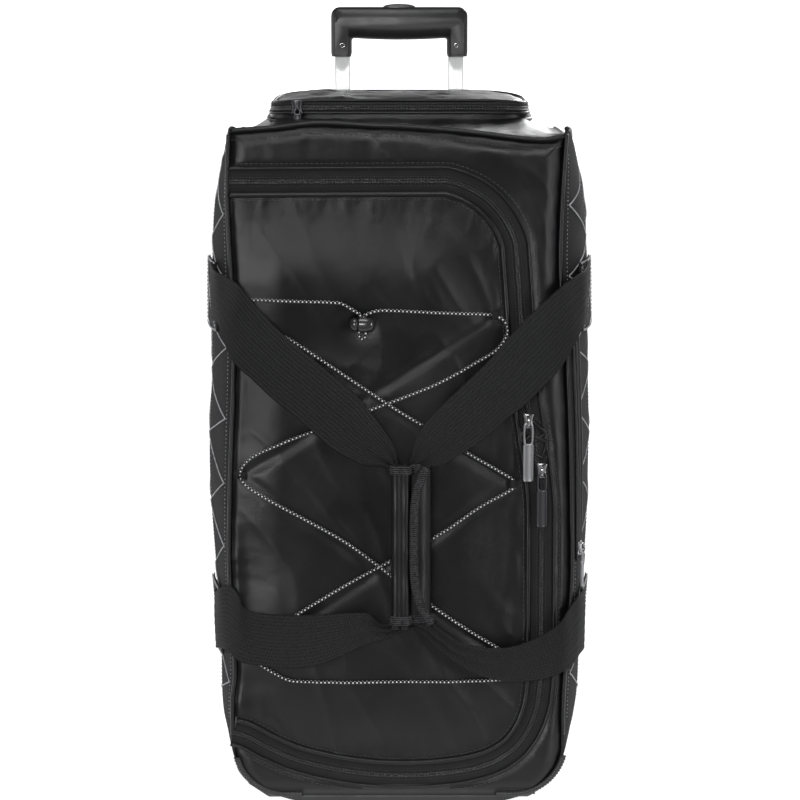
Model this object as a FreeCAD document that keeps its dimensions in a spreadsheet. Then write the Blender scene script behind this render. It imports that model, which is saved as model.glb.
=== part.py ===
"""Rolling duffel bag: an upright soft case on two wheels, with a telescopic handle.

X runs across the front, Y from the front to the back and Z up from the floor.
The origin is on the floor, below the middle of the bag. Millimetres.
"""
import FreeCAD, Part
import math
import os
import re

import Sketcher
from FreeCAD import Placement, Rotation, Vector

SIZES = (
    # the body: fabric panels on a rigid base, with a board behind
    ("seam_half", 163), ("front_reach", 133), ("rear_reach", 146), ("side_bulge", 27),
    ("skin", 3), ("base_low", 8), ("base_deep", 6), ("body_high", 668),
    ("board_thick", 3), ("channel_deep", 19),
    # the front flap and the zip round it
    ("zip_top", "=body_high - 51"), ("zip_foot", 32), ("zip_left_foot", 90), ("zip_corner_x", 106),
    ("zip_mid_x", 124), ("zip_mid_z", 386), ("zip_side_x", 137.5), ("zip_side_z", 337),
    ("zip_foot_x", -10), ("tape_half", 14), ("coil_half", 3), ("tape_thick", 2.5), ("coil_thick", 2.5),
    # the wheels and what they run in
    ("wheel_x", 142), ("wheel_y", 129), ("wheel_round", 34), ("wheel_wide", 24), ("hub_round", 24),
    ("wheel_gap", 5), ("housing_wall", 3), ("housing_half", 19),
    ("axle_round", 4), ("run_gap", 0.05), ("bearing_round", 11), ("bearing_wide", 7),
    # the feet, the corner guards and the rails on the back
    ("foot_x", 120), ("foot_y", -96), ("foot_long", 40), ("foot_wide", 24),
    ("guard_thick", 2.5), ("guard_high", 70), ("guard_reach", 100), ("guard_back", 60),
    ("skid_x", 95), ("skid_wide", 14), ("skid_thick", 8), ("skid_low", 90), ("skid_high", 520),
    ("screw_round", 2), ("screw_head", 4),
    # the telescopic handle
    ("rail_x", 59), ("rail_wide", 16), ("rail_thick", 10), ("tube_wall", 1.2), ("slide_gap", 0.3),
    ("tube_low", 30), ("rail_low", 200), ("rail_high", 738), ("collar_long", 25), ("collar_wall", 2),
    ("bezel_half", 85), ("bezel_thick", 5), ("bracket_half", 80), ("bracket_deep", 10),
    ("pin_z", 210), ("pin_round", 2), ("pin_in", 48), ("pin_out", 360), ("block_half", 11),
    ("grip_half", 71), ("grip_high", 774), ("grip_bar", 32), ("grip_leg", 19), ("grip_thick", 15),
    ("leg_wide", 21.6), ("grip_bevel", 12), ("button_half", 17), ("button_thick", 6), ("press_gap", 0.4),
    # the top pocket
    ("pocket_half", 132), ("pocket_front", 55), ("pocket_back", 105), ("pocket_high", 20),
    ("pocket_corner", 30), ("pocket_wall", 2.5), ("top_coil_z", "=body_high + 15"),
    # the zip of the side pocket
    ("side_zip_y", "=15 - front_reach"), ("side_zip_low", 246), ("side_zip_high", 440),
    ("side_slider_z", 256),
    # the webbing carry handles and the wrap that joins them
    ("strap_wide", 50), ("strap_thick", 2), ("strap_y", -149), ("strap_top", 505), ("strap_meet", 361),
    ("strap_low_meet", 160), ("strap_low", 178), ("strap_sag_x", 95), ("strap_sag", 150),
    ("strap_side_x", "=seam_half + side_bulge - 7"), ("sew_y", -85), ("patch_long", 34), ("patch_high", 66),
    ("wrap_round", 12), ("wrap_low", 183), ("wrap_high", 340), ("wrap_edge", 30),
    ("fold_half", 9), ("fold_thick", 3), ("soft_gap", 0.3),
    # the elastic cord on the flap
    ("cord_round", 1.5), ("cord_y", -134.8), ("lock_x", -37.5), ("lock_y", -141.3), ("lock_z", 481),
    ("lock_round", 7.5), ("plunger_round", 4.2), ("tab_high", 9),
)
NAMES = {name for name, _ in SIZES}

doc = FreeCAD.newDocument("rolling_duffel_bag")
sheet = doc.addObject("Spreadsheet::Sheet", "sizes")
for row, (alias, number) in enumerate(SIZES, start=1):
    sheet.set("A%d" % row, alias)
    sheet.set("B%d" % row, str(number))
    sheet.setAlias("B%d" % row, alias)
doc.recompute()

SUBPARTS = []

# plan outline of the body: straight front and back, and sides that are arcs
SIDE_CHORD = "(front_reach + rear_reach)"
SIDE_RADIUS = "(%s^2 / 8 / side_bulge + side_bulge / 2)" % SIDE_CHORD
SIDE_MIDDLE = "((rear_reach - front_reach) / 2)"
SIDE_CENTRE = "(seam_half + skin + side_bulge - %s)" % SIDE_RADIUS
PANEL_LOW = "(base_low + base_deep)"
PANEL_HIGH = "(body_high - skin)"
BOARD_Y = "(rear_reach - skin - channel_deep - board_thick)"
RAIL_Y = "(rear_reach - skin - channel_deep / 2)"
FLAP_BACK = "(0 - front_reach + skin)"


# ---------------------------------------------------------------- helpers
def cells(text):
    """Point the size names in an expression at the cells of the sheet."""
    return re.sub(r"[a-z_]+", lambda m: "sizes." + m.group(0) if m.group(0) in NAMES else m.group(0),
                  str(text))


def value(text):
    return float(sheet.evalExpression(cells(text)))


def place(item, x="0", y="0", z="0"):
    for axis, text in (("x", x), ("y", y), ("z", z)):
        item.setExpression("Placement.Base." + axis, cells(text))
    return item


def block(x, y, z, name="block"):
    """A box; each of x, y and z is a pair of expressions, low and high."""
    box = doc.addObject("Part::Box", name)
    for size, (low, high) in (("Length", x), ("Width", y), ("Height", z)):
        box.setExpression(size, cells("(%s) - (%s)" % (high, low)))
    return place(box, x[0], y[0], z[0])


def around(centre, half):
    """The low and high expressions of a span about a centre."""
    return "(%s) - (%s)" % (centre, half), "(%s) + (%s)" % (centre, half)


AXES = {"x": Rotation(Vector(0, 1, 0), 90), "y": Rotation(Vector(1, 0, 0), -90), "z": Rotation()}


def rod(start, length, radius, axis="z", name="rod"):
    """A cylinder from a start point, given as three expressions, along an axis."""
    cylinder = doc.addObject("Part::Cylinder", name)
    cylinder.Placement = Placement(Vector(), AXES[axis])
    cylinder.setExpression("Radius", cells(radius))
    cylinder.setExpression("Height", cells(length))
    return place(cylinder, *start)


def cut(base, *tools):
    result = doc.addObject("Part::Cut", "cut")
    result.Base = base
    result.Tool = tools[0] if len(tools) == 1 else join(*tools)
    return result


def join(*items):
    result = doc.addObject("Part::MultiFuse", "join")
    result.Shapes = list(items)
    return result


def common(first, second):
    result = doc.addObject("Part::MultiCommon", "common")
    result.Shapes = [first, second]
    return result


def group(*items):
    result = doc.addObject("Part::Compound", "group")
    result.Links = list(items)
    return result


def mirrored(item, normal=Vector(1, 0, 0), base=Vector()):
    result = doc.addObject("Part::Mirroring", "mirrored")
    result.Source = item
    result.Normal = normal
    result.Base = base
    return result


def subpart(label, item):
    """Name a finished object as one of the pieces that are written out."""
    holder = item
    if item in SUBPARTS or any(item in other.OutList for other in SUBPARTS):
        holder = group(item)
    holder.Label = label
    SUBPARTS.append(holder)
    return holder


def pair(name, right):
    """One piece on the right and its mirror image on the left, each a node."""
    left = mirrored(right)
    subpart(name % "left", left)
    right.Label = name % "right"
    SUBPARTS.append(right)
    return left, right


def sketch(body, role, lift="0"):
    """A sketch on one of the body's own origin planes, lifted along its normal."""
    plane = next(f for f in body.Origin.OriginFeatures if f.Role == role)
    drawing = body.newObject("Sketcher::SketchObject", body.Name + "_sketch")
    drawing.AttachmentSupport = [(plane, "")]
    drawing.MapMode = "FlatFace"
    drawing.setExpression("AttachmentOffset.Base.z", cells(lift))
    return drawing


def outline(drawing, corners, arcs=()):
    """A closed outline; arcs maps the edge after a corner to (radius, middle point)."""
    arcs = dict(arcs)
    spots = [Vector(value(x), value(y), 0) for x, y in corners]
    count = len(corners)
    for number in range(count):
        start, end = spots[number], spots[(number + 1) % count]
        if number in arcs:
            radius, middle = arcs[number]
            via = Vector(value(middle[0]), value(middle[1]), 0)
            drawing.addGeometry(Part.Arc(start, via, end), False)
        else:
            drawing.addGeometry(Part.LineSegment(start, end), False)
    # an arc is stored anticlockwise, so its start may be the outline's end of it
    def tips(number):
        edge = drawing.Geometry[number]
        turned = (edge.StartPoint - spots[number]).Length > 1e-4
        return (2, 1) if turned else (1, 2)
    for number in range(count):
        follow = (number + 1) % count
        drawing.addConstraint(Sketcher.Constraint(
            "Coincident", number, tips(number)[1], follow, tips(follow)[0]))
    for number, (x, y) in enumerate(corners):
        end = tips(number)[0]
        for kind, text in (("DistanceX", x), ("DistanceY", y)):
            held = drawing.addConstraint(Sketcher.Constraint(kind, -1, 1, number, end, value(text)))
            drawing.setExpression("Constraints[%d]" % held, cells(text))
    for number, (radius, _) in arcs.items():
        held = drawing.addConstraint(Sketcher.Constraint("Radius", number, value(radius)))
        drawing.setExpression("Constraints[%d]" % held, cells(radius))
    return drawing


def feature(body, kind, drawing, **settings):
    item = body.newObject("PartDesign::" + kind, kind)
    item.Profile = drawing
    for name, setting in settings.items():
        if isinstance(setting, str):
            item.setExpression(name, cells(setting))
        else:
            setattr(item, name, setting)
    doc.recompute()
    return item


def rounded(body, base, radius, pick, kind="Fillet"):
    """Round or bevel the edges of a feature that pick says yes to."""
    edges = ["Edge%d" % (n + 1) for n, edge in enumerate(base.Shape.Edges) if pick(edge)]
    item = body.newObject("PartDesign::" + kind, kind)
    item.Base = (base, edges)
    item.setExpression("Radius" if kind == "Fillet" else "Size", cells(radius))
    doc.recompute()
    return item


def upright(edge):
    """An edge that runs straight along Z."""
    ends = edge.Vertexes
    return len(ends) == 2 and abs(ends[0].X - ends[1].X) + abs(ends[0].Y - ends[1].Y) < 1e-6


def rounded_box(name, x, y, z, radius):
    """A block with its upright edges rounded."""
    body = doc.addObject("PartDesign::Body", name)
    drawing = outline(sketch(body, "XY_Plane", z[0]),
                      ((x[0], y[0]), (x[1], y[0]), (x[1], y[1]), (x[0], y[1])))
    pad = feature(body, "Pad", drawing, Length="(%s) - (%s)" % (z[1], z[0]))
    rounded(body, pad, radius, upright)
    return body


def plan(grow, low, high):
    """The bag's plan outline, grown outwards by an amount, as an upright prism."""
    body = doc.addObject("PartDesign::Body", "plan")
    radius = "(%s + (%s))" % (SIDE_RADIUS, grow)
    front, back = "(0 - front_reach - (%s))" % grow, "(rear_reach + (%s))" % grow
    corner = "(%s + sqrt(%s^2 - (%s / 2 + (%s))^2))" % (SIDE_CENTRE, radius, SIDE_CHORD, grow)
    widest = "(%s + %s)" % (SIDE_CENTRE, radius)
    drawing = outline(
        sketch(body, "XY_Plane", low),
        (("0 - " + corner, front), (corner, front), (corner, back), ("0 - " + corner, back)),
        {1: (radius, (widest, SIDE_MIDDLE)), 3: (radius, ("0 - " + widest, SIDE_MIDDLE))})
    feature(body, "Pad", drawing, Length="(%s) - (%s)" % (high, low))
    return body


def plan_ring(inner, outer, low, high):
    """A band that hugs the body between two outlines."""
    return cut(plan(outer, low, high), plan(inner, low, high))


FAR = "400"
ALL = ("0 - " + FAR, FAR)
TALL = ("0 - " + FAR, "2 * " + FAR)


# ---------------------------------------------------------------- the base and the wheels
def wheel_bay(half, high):
    """The space at both rear corners that the base and the boards leave free."""
    spans = around("wheel_x", half)
    right = block(spans, ("wheel_y - wheel_round - wheel_gap - housing_wall", FAR), ("0 - 10", high))
    return join(right, mirrored(right))


def bottom_tray():
    """The rigid base: a floor with a low rim that the panels are sewn to."""
    tub = cut(plan("0", "base_low", PANEL_LOW), plan("0 - skin", "base_low + skin", PANEL_LOW + " + 1"))
    return subpart("bottom_tray", cut(tub, wheel_bay("housing_half", PANEL_LOW + " + 1")))


def wheel_housings():
    """A three-sided box over each wheel, with the axle through both cheeks."""
    high = "wheel_round * 2 + wheel_gap"
    outer = block(around("wheel_x", "housing_half"),
                  ("wheel_y - wheel_round - wheel_gap - housing_wall", "rear_reach"),
                  ("base_low", high + " + housing_wall"))
    inner = block(around("wheel_x", "housing_half - housing_wall"),
                  ("wheel_y - wheel_round - wheel_gap", FAR), ("0 - 10", high))
    hole = rod(("wheel_x - housing_half - 1", "wheel_y", "wheel_round"), "2 * housing_half + 2",
               "axle_round", "x")
    pair("wheel_housing_%s", cut(outer, inner, hole))


def axles():
    """A plain axle for each wheel, with a head outside each cheek."""
    shaft = rod(("wheel_x - housing_half", "wheel_y", "wheel_round"), "2 * housing_half", "axle_round", "x")
    inner = rod(("wheel_x - housing_half - 2", "wheel_y", "wheel_round"), "2", "axle_round + 2.5", "x")
    outer = rod(("wheel_x + housing_half", "wheel_y", "wheel_round"), "2", "axle_round + 2.5", "x")
    right = join(shaft, inner, outer)
    subpart("axles", group(right, mirrored(right)))


def wheel_profile(name, corners):
    """A ring turned about the wheel's own axis; corners are (along, radius)."""
    body = doc.addObject("PartDesign::Body", name)
    drawing = outline(sketch(body, "XZ_Plane"), corners)
    feature(body, "Revolution", drawing, ReferenceAxis=(drawing, ["H_Axis"]), Angle=360.0)
    return place(body, "wheel_x", "wheel_y", "wheel_round")


def wheels():
    """Soft tyre, spoked hub and two bearings, which all turn together."""
    half = "wheel_wide / 2"
    tyre = wheel_profile("tyre", (
        ("0 - " + half, "hub_round"), (half, "hub_round"), (half, "wheel_round - 4"),
        (half + " - 4", "wheel_round"), ("4 - " + half, "wheel_round"), ("0 - " + half, "wheel_round - 4")))
    bore = "(bearing_round)"
    seat = "(wheel_wide / 2 - bearing_wide)"
    hub = wheel_profile("hub", (
        ("0 - " + half, bore), ("0 - " + seat, bore), ("0 - " + seat, "axle_round + 2"),
        (seat, "axle_round + 2"), (seat, bore), (half, bore), (half, bore + " + 3"), ("4", bore + " + 3"),
        ("4", "hub_round - 3"), (half, "hub_round - 3"), (half, "hub_round"), ("0 - " + half, "hub_round"),
        ("0 - " + half, "hub_round - 3"), ("0 - 4", "hub_round - 3"), ("0 - 4", bore + " + 3"),
        ("0 - " + half, bore + " + 3")))
    ring = wheel_profile("bearing", (
        (seat, "axle_round + run_gap"), (half, "axle_round + run_gap"), (half, bore), (seat, bore)))
    other = wheel_profile("bearing", (
        ("0 - " + half, "axle_round + run_gap"), ("0 - " + seat, "axle_round + run_gap"),
        ("0 - " + seat, bore), ("0 - " + half, bore)))
    pair("%s_tyre", tyre)
    pair("%s_hub", hub)
    pair("%s_bearings", group(ring, other))


def feet():
    """Two flat feet under the front corners."""
    right = rounded_box("foot", around("foot_x", "foot_long / 2"), around("foot_y", "foot_wide / 2"),
                        ("0", "base_low"), "6")
    subpart("feet", group(right, mirrored(right)))


def corner_guards():
    """Ribbed plastic guards that wrap the two front corners at the foot."""
    body = doc.addObject("PartDesign::Body", "guard_slope")
    slope = outline(sketch(body, "XZ_Plane", "guard_back"), (
        ("guard_reach", "base_low"), ("seam_half + 60", "base_low"), ("seam_half + 60", "guard_high"),
        ("seam_half - 6", "guard_high"), ("guard_reach", "base_low + 5")))
    feature(body, "Pad", slope, Length="front_reach")
    right = common(plan_ring("0", "guard_thick", "base_low", "guard_high"), body)
    subpart("corner_guards", group(right, mirrored(right)))


def skid_rails():
    """Two rails up the back, each held by two screws in counterbores."""
    spans = around("skid_x", "skid_wide / 2")
    face = "rear_reach + skid_thick"
    rail = block(spans, ("rear_reach", face), ("skid_low", "skid_high"))
    heights = ("skid_low + 30", "skid_high - 30")
    holes = []
    screws = []
    for height in heights:
        holes.append(rod(("skid_x", "rear_reach - 1", height), "skid_thick + 2", "screw_round", "y"))
        holes.append(rod(("skid_x", face + " - 3", height), "4", "screw_head + 0.3", "y"))
        shank = rod(("skid_x", "rear_reach - skin", height), "skid_thick", "screw_round", "y")
        head = rod(("skid_x", face + " - 3", height), "2", "screw_head", "y")
        screws.append(join(shank, head))
    right = cut(rail, *holes)
    subpart("skid_rails", group(right, mirrored(right)))
    right = group(*screws)
    subpart("rail_screws", group(right, mirrored(right)))


# ---------------------------------------------------------------- the panels
def side_panels():
    """The bulging side panels, from the base's rim up to the top panel."""
    shell = plan_ring("0 - skin", "0", PANEL_LOW, PANEL_HIGH)
    side = block(("seam_half", FAR), ALL, TALL)
    pair("%s_side_panel", common(shell, side))


def top_end_panel():
    """The panel over the top end, with two openings for the rails."""
    panel = plan("0", PANEL_HIGH, "body_high")
    right = block(around("rail_x", "rail_wide / 2 + 2 * slide_gap"),
                  around(RAIL_Y, "rail_thick / 2 + 2 * slide_gap"), (PANEL_HIGH + " - 1", "body_high + 1"))
    return subpart("top_end_panel", cut(panel, right, mirrored(right)))


def back_panels():
    """The stiff board inside and the fabric behind it; the handle's tubes run between."""
    bay = wheel_bay("housing_half + 5", "wheel_round * 2 + wheel_gap + housing_wall")
    board = block(around("0", "seam_half"), (BOARD_Y, BOARD_Y + " + board_thick"), (PANEL_LOW, PANEL_HIGH))
    subpart("back_board", cut(board, bay))
    snug = wheel_bay("housing_half", "wheel_round * 2 + wheel_gap + housing_wall")
    fabric = block(around("0", "seam_half"), ("rear_reach - skin", "rear_reach"), (PANEL_LOW, PANEL_HIGH))
    holes = []
    for height in ("skid_low + 30", "skid_high - 30"):
        hole = rod(("skid_x", "rear_reach - skin - 1", height), "skin + 2", "screw_round", "y")
        holes += [hole, mirrored(hole)]
    subpart("back_panel", cut(fabric, snug, *holes))


def zip_region(grow):
    """The face inside the flap's zip line, grown by an amount, in the plane Y = 0.

    The line starts and ends on the left seam, so only the corners in between are rounded.
    """
    left = -value("seam_half")
    corners = [(value("zip_corner_x"), value("zip_top"), 62), (value("zip_mid_x"), value("zip_mid_z"), 200),
               (value("zip_side_x"), value("zip_side_z"), 200), (value("zip_side_x"), value("zip_foot"), 95),
               (value("zip_foot_x"), value("zip_foot"), 200)]
    spots = [(left - 50, value("zip_top"))] + [c[:2] for c in corners]
    last = spots[-1]
    slope = (value("zip_left_foot") - last[1]) / (left - last[0])
    spots.append((left - 50, last[1] + slope * (left - 50 - last[0])))
    lines = []
    for (x0, z0), (x1, z1) in zip(spots, spots[1:]):
        long = math.hypot(x1 - x0, z1 - z0)
        ux, uz = (x1 - x0) / long, (z1 - z0) / long
        lines.append((x0 - uz * grow, z0 + ux * grow, ux, uz))

    def meet(one, two):
        ax, az, ux, uz = one
        bx, bz, vx, vz = two
        run = ((bx - ax) * vz - (bz - az) * vx) / (ux * vz - uz * vx)
        return ax + ux * run, az + uz * run

    edge = (left, 0, 0, 1)
    path = [meet(lines[0], edge)]
    path += [meet(one, two) for one, two in zip(lines, lines[1:])]
    path.append(meet(lines[-1], edge))
    pen = Vector(path[0][0], 0, path[0][1])
    edges = []
    for number, (_, _, radius) in enumerate(corners, start=1):
        ux, uz = lines[number - 1][2:]
        vx, vz = lines[number][2:]
        bend = ux * vz - uz * vx
        size = radius + grow if bend < 0 else radius - grow
        turn = math.acos(ux * vx + uz * vz)
        back = size * math.tan(turn / 2)
        x, z = path[number]
        begin = Vector(x - ux * back, 0, z - uz * back)
        finish = Vector(x + vx * back, 0, z + vz * back)
        inward = Vector(vx - ux, 0, vz - uz).normalize()
        middle = Vector(x, 0, z) + inward * (size / math.cos(turn / 2) - size)
        edges.append(Part.LineSegment(pen, begin).toShape())
        edges.append(Part.Arc(begin, middle, finish).toShape())
        pen = finish
    end = Vector(path[-1][0], 0, path[-1][1])
    edges.append(Part.LineSegment(pen, end).toShape())
    edges.append(Part.LineSegment(end, Vector(path[0][0], 0, path[0][1])).toShape())
    return Part.Face(Part.Wire(edges))


def solid(name, shape, y="0"):
    """A plain feature for a shape that no sketch or primitive makes."""
    item = doc.addObject("Part::Feature", name)
    item.Shape = shape
    return place(item, "0", y, "0")


def front_panels():
    """The front panel with its D-shaped opening, the flap in it and the zip between them."""
    deep = Vector(0, value("skin"), 0)
    opening = zip_region(value("tape_half")).extrude(deep)
    front = block(around("0", "seam_half"), ("0 - front_reach", FLAP_BACK), (PANEL_LOW, PANEL_HIGH))
    subpart("front_panel", cut(front, solid("opening", opening, "0 - front_reach")))
    flap = zip_region(-value("tape_half")).extrude(deep)
    subpart("main_flap", solid("flap", flap, "0 - front_reach"))
    tape_deep = Vector(0, value("tape_thick"), 0)
    outer, inner = zip_region(value("tape_half")), zip_region(-value("tape_half"))
    tape = outer.cut(inner).extrude(tape_deep)
    ridge = zip_region(value("coil_half")).cut(zip_region(-value("coil_half")))
    ridge = ridge.extrude(Vector(0, value("coil_thick"), 0))
    tapes = solid("tape", tape, FLAP_BACK + " - tape_thick")
    coil = solid("coil", ridge, FLAP_BACK + " - tape_thick - coil_thick")
    subpart("main_zip", join(tapes, coil))


# ---------------------------------------------------------------- the top pocket
def pocket_prism(grow, low, high):
    """The top pocket's plan outline, grown outwards, as an upright prism."""
    return rounded_box("pocket", around("0", "pocket_half + (%s)" % grow),
                       ("0 - pocket_front - (%s)" % grow, "pocket_back + (%s)" % grow),
                       (low, high), "pocket_corner + (%s)" % grow)


def top_pocket():
    """A low zipped pocket on the top end, open below onto the top panel, and its zip."""
    top = "body_high + pocket_high"
    subpart("top_pocket", cut(pocket_prism("0", "body_high", top),
                              pocket_prism("0 - pocket_wall", "body_high - 1", top + " - pocket_wall")))
    front = block(ALL, ("0 - " + FAR, "20"), TALL)
    tape = cut(pocket_prism("1", "top_coil_z - 5", "top_coil_z + 5"),
               pocket_prism("0", "top_coil_z - 6", "top_coil_z + 6"))
    coil = cut(pocket_prism("coil_thick", "top_coil_z - 1.5", "top_coil_z + 1.5"),
               pocket_prism("0.5", "top_coil_z - 2", "top_coil_z + 2"))
    subpart("top_zip", common(join(tape, coil), front))


def side_zip():
    """The zip of the pocket on the right side panel, near its front seam."""
    tape = common(plan_ring("0", "1.5", "side_zip_low", "side_zip_high"),
                  block(("0", FAR), around("side_zip_y", "12"), TALL))
    coil = common(plan_ring("1", "coil_thick + 1", "side_zip_low", "side_zip_high"),
                  block(("0", FAR), around("side_zip_y", "coil_half"), TALL))
    subpart("side_zip", join(tape, coil))


# ---------------------------------------------------------------- sliders and pulls
def slider(place_at, turn=Rotation()):
    """A zip slider with a bail, its back at the place given; it faces -Y before the turn."""
    plate = block(("0 - 6", "6"), ("0 - 3.3", "0 - 0.3"), ("0 - 7", "7"))
    bail = block(("0 - 1.2", "1.2"), ("0 - 7.3", "0 - 3.3"), ("0 - 5", "5"))
    eye = block(("0 - 2", "2"), ("0 - 6.1", "0 - 3.6"), ("0 - 3.5", "3.5"))
    piece = group(join(plate, cut(bail, eye)))
    piece.Placement = Placement(Vector(), turn)
    return place(piece, *place_at)


def pull(place_at, link, tab, turn=Rotation(), wide="5"):
    """A zip pull: a wire link through the bail and a flat tab that hangs from it."""
    bar = rod(("0 - 4", "0 - 4.9", "0 - 2"), "8", "0.8", "x")
    arms = [block(span, ("0 - 5.7", "0 - 4.1"), ("0 - 2 - (%s)" % link, "0 - 2"))
            for span in (("0 - 4", "0 - 2.6"), ("2.6", "4"))]
    plate = block(around("0", wide), ("0 - 5.7", "0 - 4.1"),
                  ("0 - 2 - (%s) - (%s)" % (link, tab), "0 - 2 - (%s)" % link))
    piece = group(join(bar, plate, *arms))
    piece.Placement = Placement(Vector(), turn)
    return place(piece, *place_at)


def zip_sliders():
    """Two sliders on the flap's zip, one on the side pocket's and one on the top pocket's."""
    face = FLAP_BACK + " - tape_thick - coil_thick"
    upper = ("zip_mid_x", face, "zip_mid_z")
    lower = ("zip_side_x", face, "zip_side_z")
    subpart("main_slider_upper", slider(upper))
    subpart("main_pull_upper", pull(upper, "20", "37"))
    subpart("main_slider_lower", slider(lower))
    subpart("main_pull_lower", pull(lower, "17", "36"))
    lean = math.degrees(math.asin((value(SIDE_MIDDLE) - value("side_zip_y")) / value(SIDE_RADIUS)))
    outwards = Rotation(Vector(0, 0, 1), 90 - lean)
    reach = "(%s + coil_thick + 1)" % SIDE_RADIUS
    across = "(%s + sqrt(%s^2 - (%s - side_zip_y)^2))" % (SIDE_CENTRE, reach, SIDE_MIDDLE)
    side = (across, "side_zip_y", "side_slider_z")
    subpart("side_slider", slider(side, outwards))
    subpart("side_pull", pull(side, "10", "27", outwards, "3.5"))
    top = ("0 - pocket_half + pocket_corner + 2", "0 - pocket_front - coil_thick", "top_coil_z")
    subpart("top_slider", slider(top))
    subpart("top_pull", pull(top, "4", "8", wide="3.5"))


# ---------------------------------------------------------------- the webbing handles
def strip(first, last, wide, thick):
    """A flat strip of webbing between two points (x, z), square at its ends."""
    (x0, z0), (x1, z1) = first, last
    long = math.hypot(x1 - x0, z1 - z0)
    ax, az = -(z1 - z0) / long * wide / 2, (x1 - x0) / long * wide / 2
    corners = [Vector(x, 0, z) for x, z in
               ((x0 - ax, z0 - az), (x1 - ax, z1 - az), (x1 + ax, z1 + az), (x0 + ax, z0 + az))]
    wire = Part.makePolygon(corners + corners[:1])
    return Part.Face(wire).extrude(Vector(0, thick, 0))


def webbing():
    """Two webbing loops; each is sewn to one side at its top and its foot.

    The loop lies across the front, folds narrow inside the wrap, and goes round the front
    edge of the body to where it is sewn.
    """
    side, wide, thick = value("strap_side_x"), value("strap_wide"), value("strap_thick")
    meet = value("fold_half")
    top = (side, value("strap_top"))
    foot = (side, value("strap_low"))
    sag = (value("strap_sag_x"), value("strap_sag"))
    upper = strip(top, (meet - 1, value("strap_meet")), wide, thick)
    lower = strip((meet - 1, value("strap_low_meet")), sag, wide * 0.8, thick)
    lower = lower.fuse(strip(sag, foot, wide * 0.9, thick))
    flat = upper.fuse(lower)
    reach = Part.makeBox(side - value("soft_gap"), 20, 900, Vector(value("soft_gap"), -5, 0))
    loop = solid("loop", flat.common(reach), "strap_y - strap_thick / 2")
    fold = block(("2 * soft_gap", "fold_half"), around("strap_y", "fold_thick"),
                 ("strap_low_meet - 5", "strap_meet + 5"))
    sides = [block(around("strap_side_x", "strap_thick / 2"), ("strap_y - strap_thick / 2", "sew_y"),
                   around(height, half))
             for height, half in (("strap_top - 4", "strap_wide / 2"), ("strap_low", "strap_wide * 0.45"))]
    pair("%s_webbing", join(loop, fold, *sides))


def anchor_patches():
    """The sewn patches behind the four ends of the webbing."""
    patches = []
    for height in ("strap_top - 4", "strap_low"):
        span = around(height, "patch_high / 2")
        patches.append(common(plan_ring("0", "strap_thick", *span),
                              block(("0", FAR), ("sew_y + soft_gap", "sew_y + patch_long"), TALL)))
    right = group(*patches)
    subpart("anchor_patches", group(right, mirrored(right)))


def wrap():
    """The padded wrap round both loops: a rear half, and a front half that opens."""
    height = "wrap_high - wrap_low"
    tube = rod(("0", "strap_y", "wrap_low"), height, "wrap_round")
    hollow = block(around("0", "fold_half + soft_gap"), around("strap_y", "fold_thick + soft_gap"), TALL)
    sleeve = cut(tube, hollow)
    rear = "strap_y + soft_gap / 2"
    front = "strap_y - soft_gap / 2"
    for name, span, lip in (("grip_wrap", (rear, FAR), (rear, "strap_y + 2")),
                            ("wrap_flap", ("0 - " + FAR, front), ("strap_y - 2", front))):
        half = common(sleeve, block(ALL, span, TALL))
        edge = block(("fold_half + 1", "wrap_edge"), lip, ("wrap_low", "wrap_high"))
        subpart(name, join(half, edge))


# ---------------------------------------------------------------- the elastic cord
def corded(points, radius):
    """A round cord along a route of straight runs joined by tangent arcs."""
    edges = []
    pen = points[0]
    for before, here, after in zip(points, points[1:], points[2:]):
        come = (here - before).normalize()
        leave = (after - here).normalize()
        turn = come.getAngle(leave)
        back = radius * math.tan(turn / 2)
        begin, finish = here - come * back, here + leave * back
        middle = here + (leave - come).normalize() * (radius / math.cos(turn / 2) - radius)
        edges.append(Part.LineSegment(pen, begin).toShape())
        edges.append(Part.Arc(begin, middle, finish).toShape())
        pen = finish
    edges.append(Part.LineSegment(pen, points[-1]).toShape())
    spine = Part.Wire(edges)
    start = points[1] - points[0]
    ring = Part.Wire(Part.makeCircle(value("cord_round"), points[0], start))
    return spine.makePipeShell([ring], True, True)


TAB_SPOTS = (("left_high", -152, 489, -1), ("left_mid", -152, 332, -1), ("left_low", -150, 152, -1),
             ("right_high", 91, 489, 1), ("right_mid", 110, 324, 1), ("right_low", 112, 141, 1))


def bungee_cord():
    """The elastic cord, laced across the flap through six tabs, flat against it."""
    spot = {name: (x, z) for name, x, z, _ in TAB_SPOTS}
    x, z = value("lock_x"), value("lock_z")
    one = [(x - 3.5, z - 13), (x - 3.5, z + 11), (x - 21, z + 21), spot["left_high"], spot["right_mid"],
           spot["left_low"], (-136, 123), (104, 123), spot["right_low"]]
    two = [spot["right_low"], spot["left_mid"], spot["right_high"], (86, 498), (x + 17, z + 20),
           (x + 3.5, z + 11), (x + 3.5, z - 13), (x, z - 16), (x - 3.5, z - 13)]
    lift = 0.4
    first = corded([Vector(px, 0, pz) for px, pz in one], 1.7)
    second = corded([Vector(px, -lift, pz) for px, pz in two], 1.7)
    subpart("bungee_cord", solid("bungee", first.fuse(second), "cord_y"))


def cord_tabs():
    """Six small tabs on the flap; the cord turns back under each of them."""
    tabs = []
    for _, x, z, way in TAB_SPOTS:
        inner, outer = sorted((x - 4 * way, x + 9 * way))
        foot = sorted((x + 4 * way, x + 9 * way))
        height = around(z, "tab_high / 2")
        strap = block((str(inner), str(outer)), ("cord_y - 3.6", "cord_y - 2.4"), height)
        leg = block((str(foot[0]), str(foot[1])), ("cord_y - 3", "0 - front_reach"), height)
        tabs.append(join(strap, leg))
    subpart("cord_tabs", group(*tabs))


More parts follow.
